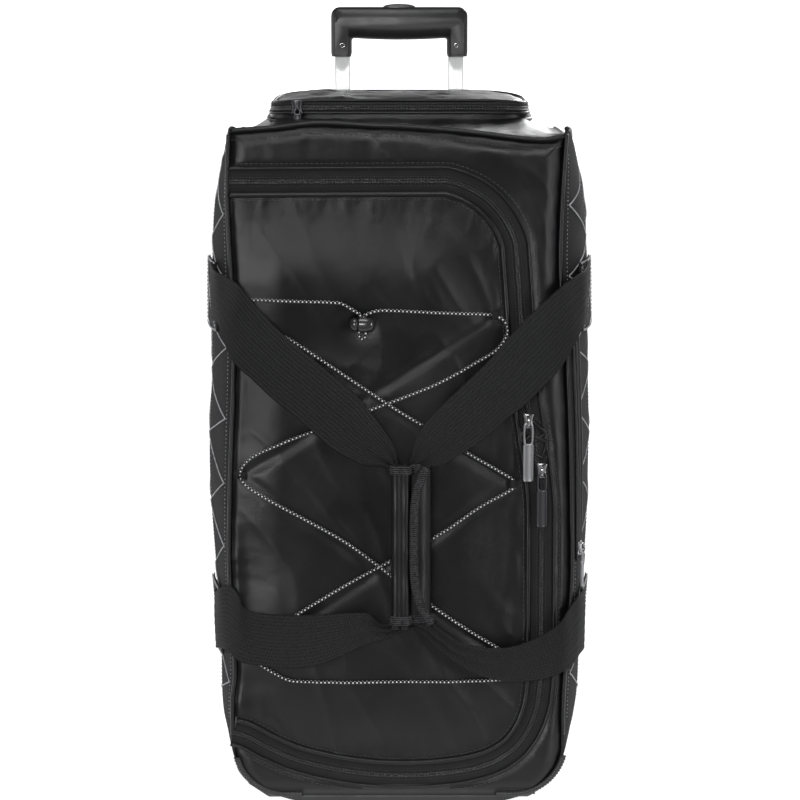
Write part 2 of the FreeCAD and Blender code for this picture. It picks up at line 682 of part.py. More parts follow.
def spring(radius, wire, height, pitch):
    """A coil spring that stands on the origin."""
    helix = doc.addObject("Part::Helix", "helix")
    helix.setExpression("Height", cells(height))
    helix.setExpression("Radius", cells(radius))
    helix.setExpression("Pitch", cells(pitch))
    section = doc.addObject("Part::Circle", "section")
    section.Radius = wire
    section.Placement = Placement(Vector(value(radius), 0, 0), Rotation(Vector(1, 0, 0), 90))
    coil = doc.addObject("Part::Sweep", "coil")
    coil.Sections = [section]
    coil.Spine = (helix, ["Edge1"])
    coil.Solid = True
    coil.Frenet = True
    return coil


def cord_lock():
    """The toggle that grips the cord: a barrel, a plunger and the spring between them."""
    barrel = rod(("lock_x - 10", "lock_y", "lock_z"), "16", "lock_round", "x")
    bore = rod(("lock_x - 8", "lock_y", "lock_z"), "20", "plunger_round + 0.3", "x")
    channel = block(("lock_x - 7", "lock_x + 12"), ("cord_y - 2.3", "0"), around("lock_z", "lock_round + 2"))
    subpart("cord_lock_body", cut(barrel, bore, channel))
    subpart("cord_lock_plunger", rod(("lock_x - 1", "lock_y", "lock_z"), "14", "plunger_round", "x"))
    coil = group(spring("2.6", 0.4, "6", "1.8"))
    coil.Placement = Placement(Vector(), AXES["x"])
    subpart("cord_lock_spring", place(coil, "lock_x - 7.5", "lock_y", "lock_z"))


# ---------------------------------------------------------------- the telescopic handle
def sleeve(wide, thick, wall, low, high):
    """A rectangular tube at the right-hand rail; wide and thick are its inner half sizes."""
    outer = block(around("rail_x", "%s + %s" % (wide, wall)), around(RAIL_Y, "%s + %s" % (thick, wall)),
                  (low, high))
    return outer, block(around("rail_x", wide), around(RAIL_Y, thick), (low + " - 1", high + " + 1"))


def pin_hole(height, radius):
    """A hole through the outer cheek of the right-hand rail."""
    return rod(("rail_x + rail_wide / 4", RAIL_Y, height), "rail_wide / 2", radius, "x")


def handle_tubes():
    """The fixed tubes in the back channel, with a collar, a bezel and a bracket."""
    outer, hole = sleeve("(rail_wide / 2 + slide_gap)", "(rail_thick / 2 + slide_gap)", "tube_wall",
                         "tube_low", PANEL_HIGH)
    pair("outer_tube_%s", cut(outer, hole, pin_hole("pin_z - pin_in", "pin_round + 0.3"),
                              pin_hole("pin_z + pin_out", "pin_round + 0.3")))
    outer, hole = sleeve("(rail_wide / 2 + slide_gap + tube_wall)",
                         "(rail_thick / 2 + slide_gap + tube_wall)",
                         "collar_wall", PANEL_HIGH + " - collar_long", PANEL_HIGH)
    right = cut(outer, hole)
    subpart("tube_collars", group(right, mirrored(right)))
    plate = rounded_box("bezel", around("0", "bezel_half"), (BOARD_Y, "rear_reach"),
                        ("body_high", "body_high + bezel_thick"), "8")
    hole = block(around("rail_x", "rail_wide / 2 + 2 * slide_gap"),
                 around(RAIL_Y, "rail_thick / 2 + 2 * slide_gap"), TALL)
    subpart("handle_bezel", cut(plate, hole, mirrored(hole)))
    subpart("tube_bracket", block(around("0", "bracket_half"), around(RAIL_Y, "channel_deep / 2 - 1"),
                                  ("tube_low - bracket_deep", "tube_low")))


def handle_rails():
    """The sliding rails, and at their feet the blocks and pins that lock them."""
    outer, hole = sleeve("(rail_wide / 2 - tube_wall)", "(rail_thick / 2 - tube_wall)", "tube_wall",
                         "rail_low", "rail_high")
    pair("inner_tube_%s", cut(outer, hole, pin_hole("pin_z", "pin_round + 0.1")))
    core = block(around("rail_x", "rail_wide / 2 - tube_wall"), around(RAIL_Y, "rail_thick / 2 - tube_wall"),
                 around("pin_z + 3", "block_half"))
    right = cut(core, rod(("rail_x - rail_wide", RAIL_Y, "pin_z"), "2 * rail_wide", "pin_round + 0.1", "x"),
                rod(("rail_x", RAIL_Y, "pin_z + 6"), "20", "pin_round + 0.1"))
    subpart("lock_blocks", group(right, mirrored(right)))
    pair("lock_pin_%s", rod(("rail_x + 0.5", RAIL_Y, "pin_z"), "rail_wide / 2 + slide_gap / 2 - 0.5",
                            "pin_round", "x"))


GRIP_LOW = "(grip_high - grip_bar)"
LEG_LOW = "(grip_high - grip_bar - grip_leg)"
CAVITY_LOW = "(grip_high - grip_bar + 5)"
CAVITY_HIGH = "(grip_high - 5)"


def grip_shells():
    """The hand grip: a front and a rear shell that close round the tops of the rails."""
    body = doc.addObject("PartDesign::Body", "shell")
    leg = "grip_half - leg_wide"
    corners = (("0 - grip_half", LEG_LOW), ("0 - (%s)" % leg, LEG_LOW),
               ("0 - (%s)" % leg, GRIP_LOW), (leg, GRIP_LOW), (leg, LEG_LOW),
               ("grip_half", LEG_LOW), ("grip_half", "grip_high - grip_bevel"),
               ("grip_half - grip_bevel", "grip_high"), ("grip_bevel - grip_half", "grip_high"),
               ("0 - grip_half", "grip_high - grip_bevel"))
    drawing = outline(sketch(body, "XZ_Plane", "0 - (%s)" % RAIL_Y), corners)
    pad = feature(body, "Pad", drawing, Length="grip_thick")
    front_y = value(RAIL_Y) - value("grip_thick")
    rounded(body, pad, "3", lambda edge: all(abs(v.Y - front_y) < 0.01 for v in edge.Vertexes))
    bar = block(around("0", "rail_x + 4.5"), around(RAIL_Y, "button_thick + 2"), (CAVITY_LOW, CAVITY_HIGH))
    top = block(around("0", "button_half + press_gap"), around(RAIL_Y, "button_thick + press_gap"),
                (CAVITY_HIGH + " - 1", "grip_high + 1"))
    tools = [bar, top]
    for sign in ("rail_x", "0 - rail_x"):
        tools.append(block(around(sign, "rail_wide / 2"), around(RAIL_Y, "rail_thick / 2"),
                           (LEG_LOW + " - 1", "rail_high")))
        tools.append(block(around(sign, "3.5"), around(RAIL_Y, "3.5"),
                           ("rail_high - 1", CAVITY_LOW + " + 1")))
    hollow = join(*tools)
    rear = cut(mirrored(body, Vector(0, 1, 0), Vector(0, value(RAIL_Y), 0)), hollow)
    screw_z = LEG_LOW + " + 12"
    holes, screws = [], []
    for sign in ("rail_x", "0 - rail_x"):
        face = "(%s - grip_thick)" % RAIL_Y
        back = "(%s - rail_thick / 2)" % RAIL_Y
        holes.append(rod((sign, face + " - 1", screw_z), "3.5", "screw_head - 0.6", "y"))
        holes.append(rod((sign, face, screw_z), "%s - %s" % (back, face), "screw_round - 0.5", "y"))
        shank = rod((sign, face + " + 1", screw_z), "%s - %s - 1" % (back, face), "screw_round - 0.5", "y")
        head = rod((sign, face + " + 0.7", screw_z), "1.8", "screw_head - 0.8", "y")
        screws.append(join(shank, head))
    subpart("grip_front_shell", cut(body, hollow, *holes))
    subpart("grip_rear_shell", rear)
    subpart("grip_screws", group(*screws))


def release():
    """The push button, its spring, and the two rods that reach down to the lock blocks."""
    head = rounded_box("button", around("0", "button_half"), around(RAIL_Y, "button_thick"),
                       (CAVITY_HIGH + " - 1.5", "grip_high + 3"), "button_thick - 0.5")
    flange = block(around("0", "button_half + 3"), around(RAIL_Y, "button_thick + 1"),
                   (CAVITY_HIGH + " - 4.5", CAVITY_HIGH + " - 0.5"))
    subpart("release_button", join(head, flange))
    under = CAVITY_HIGH + " - 4.5"
    arm = block(("5.5", "rail_x + 2"), around(RAIL_Y, "2"), (under + " - 4", under))
    rods = rod(("rail_x", RAIL_Y, "pin_z + 11"), "%s - 2 - pin_z - 11" % under, "pin_round")
    right = join(arm, rods)
    subpart("push_rods", group(right, mirrored(right)))
    coil = group(spring("3.4", 0.5, "%s - %s - 2" % (under, CAVITY_LOW), "3"))
    subpart("button_spring", place(coil, "0", RAIL_Y, CAVITY_LOW + " + 0.8"))


# ---------------------------------------------------------------- build and write
bottom_tray()
wheel_housings()
axles()
wheels()
feet()
corner_guards()
skid_rails()
side_panels()
top_end_panel()
back_panels()
front_panels()
top_pocket()
side_zip()
zip_sliders()
webbing()
anchor_patches()
wrap()
bungee_cord()
cord_tabs()
cord_lock()
handle_tubes()
handle_rails()
grip_shells()
release()
doc.recompute()

for item in doc.Objects:
    if {"Invalid", "Error"} & set(item.State):
        raise RuntimeError("%s (%s) failed: %s" % (item.Name, item.Label, item.State))
for item in SUBPARTS:
    if item.Shape.isNull() or not item.Shape.isValid() or not item.Shape.Solids:
        raise RuntimeError("%s has no valid solid" % item.Label)

os.makedirs("parts", exist_ok=True)
for item in SUBPARTS:
    item.Shape.exportStep(os.path.join("parts", item.Label + ".step"))
print(len(SUBPARTS), "sub-parts written")
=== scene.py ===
"""Looks of the rolling duffel bag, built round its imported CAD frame.

Metres. X runs across the front, Y from the front to the back, Z up from the floor.
"""
import math
import bmesh
import bpy
import numpy as np
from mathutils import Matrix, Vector, noise


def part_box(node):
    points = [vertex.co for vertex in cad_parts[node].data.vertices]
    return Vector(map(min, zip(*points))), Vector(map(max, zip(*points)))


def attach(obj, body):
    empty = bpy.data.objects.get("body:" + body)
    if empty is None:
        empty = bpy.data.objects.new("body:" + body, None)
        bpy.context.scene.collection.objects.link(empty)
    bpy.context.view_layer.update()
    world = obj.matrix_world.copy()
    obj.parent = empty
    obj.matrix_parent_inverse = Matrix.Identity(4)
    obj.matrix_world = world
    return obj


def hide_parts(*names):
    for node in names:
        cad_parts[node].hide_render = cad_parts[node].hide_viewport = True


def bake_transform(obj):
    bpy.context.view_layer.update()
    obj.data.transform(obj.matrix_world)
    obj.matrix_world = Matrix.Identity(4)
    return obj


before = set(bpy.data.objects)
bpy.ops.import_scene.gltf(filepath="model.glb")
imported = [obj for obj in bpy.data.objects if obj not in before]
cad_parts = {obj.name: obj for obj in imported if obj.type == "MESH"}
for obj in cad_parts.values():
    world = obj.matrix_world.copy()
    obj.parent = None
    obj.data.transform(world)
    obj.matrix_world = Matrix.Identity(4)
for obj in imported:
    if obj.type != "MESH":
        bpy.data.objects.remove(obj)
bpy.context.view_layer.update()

MM = 0.001
UP = np.array((0.0, 0.0, 1.0))
OUT = np.array((0.0, -1.0, 0.0))
SIDES = ((-1, "left"), (1, "right"))


def midpoint(low, high):
    """The point halfway between two corners."""
    return (np.array(low) + np.array(high)) / 2


# ------------------------------------------------------------------ sizes read from the frame
panel_low, panel_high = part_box("front_panel")
SEAM = panel_high.x
FRONT = panel_low.y
tray_low, tray_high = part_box("bottom_tray")
BASE = tray_low.z
BACK = tray_high.y
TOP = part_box("top_end_panel")[1].z
pocket_low, pocket_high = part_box("top_pocket")
wrap_low, wrap_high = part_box("grip_wrap")
rail_low, rail_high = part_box("inner_tube_right")
STRAP_Y = wrap_high.y - 13.5 * MM
lock_low, lock_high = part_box("cord_lock_body")
LOCK = midpoint(lock_low, lock_high)


# ------------------------------------------------------------------ curves
def smooth(points, steps=12):
    """A smooth curve through the given points."""
    p = np.array(points, float)
    p = np.vstack([2 * p[0] - p[1], p, 2 * p[-1] - p[-2]])
    t = np.linspace(0, 1, steps, endpoint=False)[:, None]
    parts = []
    for a, b, c, d in zip(p, p[1:], p[2:], p[3:]):
        parts.append(0.5 * (2 * b + (c - a) * t + (2 * a - 5 * b + 4 * c - d) * t ** 2
                            + (3 * b - a - 3 * c + d) * t ** 3))
    return np.vstack(parts + [p[-2:-1]])


def evenly(points, step, closed=False):
    """The same curve with points an equal step apart."""
    p = np.array(points, float)
    if closed:
        p = np.vstack([p, p[:1]])
    run = np.concatenate([[0], np.cumsum(np.linalg.norm(np.diff(p, axis=0), axis=1))])
    count = max(2, int(round(run[-1] / step)) + 1)
    marks = np.linspace(0, run[-1], count)
    even = np.column_stack([np.interp(marks, run, p[:, k]) for k in range(p.shape[1])])
    return even[:-1] if closed else even


def keyed(keys):
    """A smooth function of one number through a few (where, value) keys."""
    curve = smooth(sorted(keys))
    return lambda at: np.interp(at, curve[:, 0], curve[:, 1])


def step_up(low, high, at):
    """Rises smoothly from 0 at low to 1 at high, and stays there."""
    t = np.clip((at - low) / (high - low), 0, 1)
    return t * t * (3 - 2 * t)


def rough(points, size, seed=0.0, octaves=3):
    """Smooth noise from -1 to 1 at each point, with features of about the given size."""
    p = np.asarray(points, float).reshape(-1, 3) / size + seed * 17.3
    value = [noise.fractal(Vector(v), 0.9, 2.0, octaves) for v in p]
    return np.array(value).reshape(np.asarray(points).shape[:-1])


def rounded_path(corners, steps=14):
    """A path of straight runs with round corners; corners are (x, z, radius)."""
    p = [np.array(c[:2], float) for c in corners]
    out = [p[0]]
    for before, here, after, (_, _, radius) in zip(p, p[1:], p[2:], corners[1:]):
        come = (here - before) / np.linalg.norm(here - before)
        leave = (after - here) / np.linalg.norm(after - here)
        turn = math.acos(np.clip(come @ leave, -1, 1))
        back = radius * math.tan(turn / 2)
        a, b = here - come * back, here + leave * back
        for t in np.linspace(0, 1, steps):
            out.append((1 - t) ** 2 * a + 2 * t * (1 - t) * here * 0.62 + 2 * t * (1 - t) * 0.38 * (a + b) / 2
                       + t ** 2 * b)
    out.append(p[-1])
    return np.array(out)


# ------------------------------------------------------------------ meshes
def build(name, verts, faces, material, body="body", uvs=None, smooth_shade=True):
    """A mesh piece that rides on a body; uvs is one (u, v) per vertex, in metres."""
    mesh = bpy.data.meshes.new(name)
    mesh.from_pydata(np.asarray(verts, float).tolist(), [], [tuple(f) for f in faces])
    if smooth_shade:
        mesh.shade_smooth()
    if uvs is not None:
        layer = mesh.uv_layers.new(name="UVMap")
        index = np.zeros(len(mesh.loops), np.int32)
        mesh.loops.foreach_get("vertex_index", index)
        layer.data.foreach_set("uv", np.asarray(uvs, np.float32)[index].ravel())
    obj = bpy.data.objects.new(name, mesh)
    bpy.context.scene.collection.objects.link(obj)
    obj.data.materials.append(material)
    if body:
        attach(obj, body)
    return obj


def grid_faces(rows, columns, wrap=False, start=0):
    """Quads of a grid of points stored row by row."""
    i = np.arange(rows - 1)[:, None]
    j = np.arange(columns if wrap else columns - 1)[None, :]
    a = i * columns + j
    b = i * columns + (j + 1) % columns
    quads = np.stack([a, b, b + columns, a + columns], -1).reshape(-1, 4) + start
    return quads.tolist()


def grid(name, points, material, body="body", wrap=False, flip=False, thick=0.0, keep=None, uvs=None):
    """A sheet through a 2-D array of points; keep picks faces by their index."""
    rows, columns = points.shape[:2]
    faces = grid_faces(rows, columns, wrap)
    if keep is not None:
        faces = [f for f, yes in zip(faces, keep) if yes]
    if flip:
        faces = [f[::-1] for f in faces]
    verts = points.reshape(-1, 3)
    if uvs is not None:
        uvs = uvs.reshape(-1, 2)
    if keep is not None:
        used = sorted({v for f in faces for v in f})
        again = {v: n for n, v in enumerate(used)}
        verts = verts[used]
        faces = [[again[v] for v in f] for f in faces]
        if uvs is not None:
            uvs = uvs[used]
    obj = build(name, verts, faces, material, body, uvs)
    if thick:
        shell = obj.modifiers.new("thickness", "SOLIDIFY")
        shell.thickness = thick
        shell.offset = -1
    return obj


def frames(path, normals, closed=False):
    """Tangent, normal and across vectors at each point of a path."""
    p = np.asarray(path, float)
    if closed:
        tangent = np.roll(p, -1, 0) - np.roll(p, 1, 0)
    else:
        tangent = np.gradient(p, axis=0)
    tangent /= np.linalg.norm(tangent, axis=1)[:, None] + 1e-12
    normal = np.broadcast_to(np.asarray(normals, float), p.shape).copy()
    normal -= (normal * tangent).sum(1)[:, None] * tangent
    normal /= np.linalg.norm(normal, axis=1)[:, None] + 1e-12
    return tangent, normal, np.cross(tangent, normal)


def sweep(name, path, normals, section, material, body="body", closed=False, scale=None, caps=True):
    """A section, (across, out) points in order, swept along a path. Its ends are capped."""
    path = np.asarray(path, float)
    _, normal, across = frames(path, normals, closed)
    section = np.asarray(section, float)
    count, ring = len(path), len(section)
    scale = np.ones((count, 2)) if scale is None else np.asarray(scale, float)
    points = (path[:, None, :] + across[:, None, :] * (section[None, :, 0] * scale[:, :1])[..., None]
              + normal[:, None, :] * (section[None, :, 1] * scale[:, 1:])[..., None])
    faces = grid_faces(count, ring, wrap=True)
    if closed:
        last = (count - 1) * ring
        faces += [(last + j, last + (j + 1) % ring, (j + 1) % ring, j) for j in range(ring)]
    elif caps:
        faces.append(list(range(ring))[::-1])
        faces.append([(count - 1) * ring + j for j in range(ring)])
    run = np.concatenate([[0], np.cumsum(np.linalg.norm(np.diff(path, axis=0), axis=1))])
    girth = np.concatenate([[0], np.cumsum(np.linalg.norm(np.diff(section, axis=0), axis=1))])
    uvs = np.stack(np.meshgrid(run, girth, indexing="ij"), -1).reshape(-1, 2)
    return build(name, points.reshape(-1, 3), faces, material, body, uvs)


def ring_of(across, out, count=12, power=1.0):
    """An oval section; power under 1 makes it squarer."""
    a = np.linspace(0, 2 * math.pi, count, endpoint=False)
    c, s = np.cos(a), np.sin(a)
    return np.column_stack([np.sign(c) * abs(c) ** power * across, np.sign(s) * abs(s) ** power * out])


def dashes(name, path, normals, material, body="body", long=3.2 * MM, gap=2.0 * MM, radius=0.42 * MM,
           closed=False):
    """A row of stitches along a path: each is a short thread that dips in at both ends."""
    fine = evenly(path, 0.8 * MM, closed)
    _, normal, across = frames(fine, match(normals, path, fine), closed)
    verts, faces, uvs = [], [], []
    span, pitch = max(2, int(long / (0.8 * MM))), int((long + gap) / (0.8 * MM))
    angles = np.linspace(0, 2 * math.pi, 5, endpoint=False)
    for first in range(0, len(fine) - span, pitch):
        start = len(verts)
        rings = list(range(first, first + span + 1, max(1, span // 3)))
        for number, at in enumerate(rings):
            end = number in (0, len(rings) - 1)
            size, lift = (0.35, -0.2) if end else (1.0, 0.55)
            for angle in angles:
                verts.append(fine[at] + normal[at] * radius * (lift + size * math.sin(angle))
                             + across[at] * radius * size * math.cos(angle))
                uvs.append((at * 0.8 * MM, angle * radius))
        faces += grid_faces(len(rings), 5, wrap=True, start=start)
        faces.append([start + k for k in range(5)][::-1])
        faces.append([start + (len(rings) - 1) * 5 + k for k in range(5)])
    return build(name, verts, faces, material, body, uvs)


def match(normals, path, fine):
    """Normals given along a path, carried to another sampling of it."""
    normals = np.asarray(normals, float)
    if normals.ndim == 1:
        return np.broadcast_to(normals, fine.shape)
    at = np.linspace(0, 1, len(path))
    to = np.linspace(0, 1, len(fine))
    return np.column_stack([np.interp(to, at, normals[:, k]) for k in range(3)])


def joined(name, pieces):
    """Several pieces of one material and body made into one."""
    bpy.ops.object.select_all(action="DESELECT")
    for piece in pieces:
        piece.select_set(True)
    bpy.context.view_layer.objects.active = pieces[0]
    bpy.ops.object.join()
    pieces[0].name = name
    return pieces[0]


def solid_box(low, high, bevel, material, name, body="body", segments=3):
    """A block with rounded edges, between two corners."""
    (x0, y0, z0), (x1, y1, z1) = low, high
    verts = [(x, y, z) for z in (z0, z1) for y in (y0, y1) for x in (x0, x1)]
    faces = [(0, 2, 3, 1), (4, 5, 7, 6), (0, 1, 5, 4), (2, 6, 7, 3), (0, 4, 6, 2), (1, 3, 7, 5)]
    obj = build(name, verts, faces, material, body)
    soften(obj, bevel, segments)
    return obj


def soften(obj, width, segments=3, angle=35):
    """Bevel the edges sharper than an angle in degrees."""
    edge = obj.modifiers.new("bevel", "BEVEL")
    edge.width = width
    edge.segments = segments
    edge.limit_method = "ANGLE"
    edge.angle_limit = math.radians(angle)
    edge.harden_normals = True


def lathe(name, profile, centre, axis, material, body, count=48):
    """A ring turned about an axis through a centre; profile is (along, radius) points."""
    side = {"x": (1, 2), "y": (0, 2), "z": (0, 1)}[axis]
    main = {"x": 0, "y": 1, "z": 2}[axis]
    angles = np.linspace(0, 2 * math.pi, count, endpoint=False)
    points = np.zeros((len(profile), count, 3))
    for row, (along, radius) in enumerate(profile):
        points[row, :, main] = centre[main] + along
        points[row, :, side[0]] = centre[side[0]] + radius * np.cos(angles)
        points[row, :, side[1]] = centre[side[1]] + radius * np.sin(angles)
    obj = build(name, points.reshape(-1, 3), grid_faces(len(profile), count, wrap=True), material, body)
    clean(obj)
    return obj


def clean(obj):
    """Weld doubled points and turn every face outwards."""
    work = bmesh.new()
    work.from_mesh(obj.data)
    bmesh.ops.remove_doubles(work, verts=work.verts, dist=1e-6)
    bmesh.ops.recalc_face_normals(work, faces=work.faces)
    work.to_mesh(obj.data)
    work.free()


# ------------------------------------------------------------------ materials
class Look:
    """Node-building shorthand for one material."""

    def __init__(self, name, color, roughness, metallic=0.0, sheen=0.0, sheen_rough=0.4, coat=0.0,
                 specular=0.5):
        self.material = bpy.data.materials.new(name)
        self.material.use_nodes = True
        self.tree = self.material.node_tree
        self.shader = self.tree.nodes["Principled BSDF"]
        self.set("Base Color", (*color, 1))
        self.set("Roughness", roughness)
        self.set("Metallic", metallic)
        self.set("Sheen Weight", sheen)
        self.set("Sheen Roughness", sheen_rough)
        self.set("Coat Weight", coat)
        self.set("Specular IOR Level", specular)
        self.height = None

    def set(self, socket, setting):
        """Give a socket of the shader its value."""
        self.shader.inputs[socket].default_value = setting

    def node(self, kind, **settings):
        """A new node of a kind, with its settings."""
        item = self.tree.nodes.new("ShaderNode" + kind)
        for key, setting in settings.items():
            setattr(item, key, setting)
        return item

    def link(self, source, target):
        """Join an output to an input."""
        self.tree.links.new(source, target)

    def place(self, kind="Object", scale=(1, 1, 1), turn=(0, 0, 0)):
        """Texture coordinates in metres, times a scale, turned by an angle."""
        coordinate = self.node("TexCoord")
        mapping = self.node("Mapping")
        mapping.inputs["Scale"].default_value = scale
        mapping.inputs["Rotation"].default_value = turn
        self.link(coordinate.outputs[kind], mapping.inputs["Vector"])
        return mapping.outputs["Vector"]

    def noise(self, vector, scale, detail=3.0):
        """Cloudy noise over the coordinates."""
        texture = self.node("TexNoise")
        texture.inputs["Scale"].default_value = scale
        texture.inputs["Detail"].default_value = detail
        self.link(vector, texture.inputs["Vector"])
        return texture.outputs["Fac"]

    def wave(self, vector, scale, direction="X", distortion=0.0):
        """Bands across one direction of the coordinates."""
        texture = self.node("TexWave", bands_direction=direction)
        texture.inputs["Scale"].default_value = scale
        texture.inputs["Distortion"].default_value = distortion
        texture.inputs["Detail"].default_value = 0
        self.link(vector, texture.inputs["Vector"])
        return texture.outputs["Fac"]

    def math(self, operation, a, b=0.5):
        """One sum of two numbers or outputs."""
        item = self.node("Math", operation=operation)
        for socket, given in zip(item.inputs, (a, b)):
            if isinstance(given, (int, float)):
                socket.default_value = given
            else:
                self.link(given, socket)
        return item.outputs[0]

    def ramp(self, factor, stops):
        """A colour read from a few (position, colour) stops; a colour of one number is a grey."""
        item = self.node("ValToRGB")
        item.color_ramp.elements[0].position = stops[0][0]
        item.color_ramp.elements[1].position = stops[-1][0]
        for position, _ in stops[1:-1]:
            item.color_ramp.elements.new(position)
        for element, (_, color) in zip(item.color_ramp.elements, stops):
            element.color = (*color, 1) if len(color) == 3 else (color[0],) * 3 + (1,)
        self.link(factor, item.inputs[0])
        return item.outputs[0]

    def color(self, factor, stops):
        """The base colour, read from a ramp."""
        self.link(self.ramp(factor, stops), self.shader.inputs["Base Color"])

    def roughness(self, factor, low, high):
        """The roughness, between two values as a factor goes from 0.3 to 0.7."""
        self.link(self.ramp(factor, [(0.3, (low,)), (0.7, (high,))]), self.shader.inputs["Roughness"])

    def bump(self, height, distance, strength=1.0):
        item = self.node("Bump")
        item.inputs["Distance"].default_value = distance
        item.inputs["Strength"].default_value = strength
        self.link(height, item.inputs["Height"])
        if self.height is not None:
            self.link(self.height, item.inputs["Normal"])
        self.height = item.outputs["Normal"]
        self.link(self.height, self.shader.inputs["Normal"])


def satin_look():
    """Black satin-faced nylon: fine twill, soft broad shine, faint creases."""
    look = Look("black_satin", (0.004, 0.004, 0.0045), 0.36, specular=0.37)
    here = look.place()
    look.color(look.noise(here, 11, 5), [(0.3, (0.0022, 0.0022, 0.0027)), (0.72, (0.0048, 0.0048, 0.0058))])
    look.roughness(look.noise(here, 24, 6), 0.28, 0.38)
    look.bump(look.noise(here, 55, 6), 0.0011, 0.35)
    twill = look.wave(look.place(turn=(0, math.radians(42), 0)), 620, "X")
    grain = look.noise(here, 900, 2)
    look.bump(look.math("ADD", twill, grain), 0.00012, 0.55)
    return look.material


def heather_look():
    """Charcoal cloth of two yarns: coarse weave with pale flecks."""
    look = Look("charcoal_heather", (0.02, 0.02, 0.022), 0.88, specular=0.25)
    here = look.place()
    weave = look.math("MULTIPLY", look.wave(here, 260, "Z"), look.wave(here, 300, "Y"))
    fleck = look.noise(look.place(scale=(1, 1, 2.2)), 620, 2)
    mixed = look.math("ADD", look.math("MULTIPLY", weave, 0.35), fleck)
    look.color(mixed, [(0.42, (0.006, 0.006, 0.0067)), (0.62, (0.013, 0.013, 0.0142)),
                       (0.86, (0.055, 0.055, 0.059))])
    look.bump(look.math("ADD", weave, fleck), 0.0004, 0.8)
    return look.material


def webbing_look():
    """Black polypropylene webbing: fine ribs across, soft bands along."""
    look = Look("webbing", (0.012, 0.012, 0.0125), 0.66, specular=0.22)
    flat = look.place("UV")
    ribs = look.wave(flat, 205, "X")
    rows = look.wave(flat, 95, "Y", 0.3)
    both = look.math("ADD", ribs, look.math("MULTIPLY", rows, 0.5))
    grain = look.noise(flat, 700, 2)
    look.color(look.math("ADD", look.math("MULTIPLY", both, 0.5), grain),
               [(0.45, (0.0024, 0.0024, 0.0026)), (0.8, (0.0105, 0.0105, 0.0111)),
                (1.0, (0.026, 0.026, 0.027))])
    look.bump(both, 0.0008, 1.0)
    look.bump(grain, 0.0002, 0.5)
    return look.material


def tape_look():
    """Zip tape: matt black, with fine ribs along its length."""
    look = Look("zip_tape", (0.007, 0.007, 0.0075), 0.7, specular=0.3)
    flat = look.place("UV")
    look.bump(look.wave(flat, 330, "Y"), 0.0003, 0.8)
    look.bump(look.noise(flat, 800, 2), 0.0001, 0.5)
    look.color(look.noise(flat, 40, 3), [(0.3, (0.0045, 0.0045, 0.005)), (0.7, (0.008, 0.008, 0.0088))])
    return look.material


def trim_look():
    """Bound edge: a brushed knitted tape, grainy and a little lighter than the cloth."""
    look = Look("bound_trim", (0.02, 0.02, 0.021), 0.9, specular=0.25)
    here = look.place()
    knit = look.wave(here, 165, "Z", 1.5)
    loops = look.math("ADD", look.math("MULTIPLY", knit, 0.4),
                      look.math("MULTIPLY", look.noise(here, 420, 2), 0.8))
    look.color(loops, [(0.42, (0.003, 0.003, 0.0034)), (0.78, (0.05, 0.05, 0.053))])
    look.bump(loops, 0.0011, 1.0)
    return look.material


def cord_look():
    """Elastic cord: black braid with pale flecks in a spiral."""
    look = Look("elastic_cord", (0.02, 0.02, 0.02), 0.7, sheen=0.1)
    one = look.wave(look.place("UV", turn=(0, 0, math.radians(38.7))), 103, "X")
    two = look.wave(look.place("UV", turn=(0, 0, math.radians(-38.7))), 103, "X")
    braid = look.math("MAXIMUM", one, two)
    look.color(look.math("MULTIPLY", one, two), [(0.36, (0.004, 0.004, 0.0045)), (0.6, (0.62, 0.62, 0.63))])
    look.bump(braid, 0.0004, 1.0)
    return look.material


def thread_look():
    """Pale twisted thread."""
    look = Look("pale_thread", (0.4, 0.4, 0.41), 0.75)
    look.bump(look.wave(look.place("UV", turn=(0, 0, 0.9)), 900, "X"), 0.0002, 0.6)
    look.color(look.noise(look.place(), 300, 2), [(0.3, (0.26, 0.26, 0.27)), (0.7, (0.5, 0.5, 0.52))])
    return look.material


def dark_thread_look():
    """Black thread, for stitches that hardly show."""
    look = Look("black_thread", (0.02, 0.02, 0.021), 0.6, sheen=0.2)
    look.color(look.noise(look.place(), 400, 2), [(0.3, (0.013, 0.013, 0.014)), (0.7, (0.03, 0.03, 0.032))])
    return look.material


def moulded_look(name, color, rough, grain=0.00012, coat=0.0):
    """Moulded plastic with a fine spark-eroded grain."""
    look = Look(name, color, rough, coat=coat)
    here = look.place()
    look.bump(look.noise(here, 1500, 2), grain, 0.6)
    look.roughness(look.noise(here, 60, 4), rough - 0.06, rough + 0.07)
    shade = look.noise(here, 25, 3)
    look.color(shade, [(0.3, tuple(c * 0.85 for c in color)), (0.7, tuple(c * 1.15 for c in color))])
    return look.material


def metal_look(name, color, rough, grain_scale=(8, 8, 900)):
    """Metal with a drawn grain."""
    look = Look(name, color, rough, metallic=1.0)
    grain = look.noise(look.place(scale=grain_scale), 1.0, 3)
    look.bump(grain, 0.00005, 0.35)
    look.roughness(grain, rough * 0.8, rough * 1.25)
    return look.material


def coil_look():
    """Nylon zip coil: tooth ridges across its length, with a painted highlight on each crest and painted
    shade in the gaps between them.
    """
    look = Look("nylon_coil", (0.02, 0.02, 0.022), 0.3, coat=0.1)
    teeth_and_painted_highlights = look.wave(look.place("UV"), 215, "X")
    look.bump(teeth_and_painted_highlights, 0.0009, 1.0)
    # the colour follows the tooth wave: each crest is lighter as a painted highlight, each gap darker as
    # painted shade
    look.color(teeth_and_painted_highlights, [(0.35, (0.004, 0.004, 0.0045)), (0.8, (0.05, 0.05, 0.053))])
    return look.material


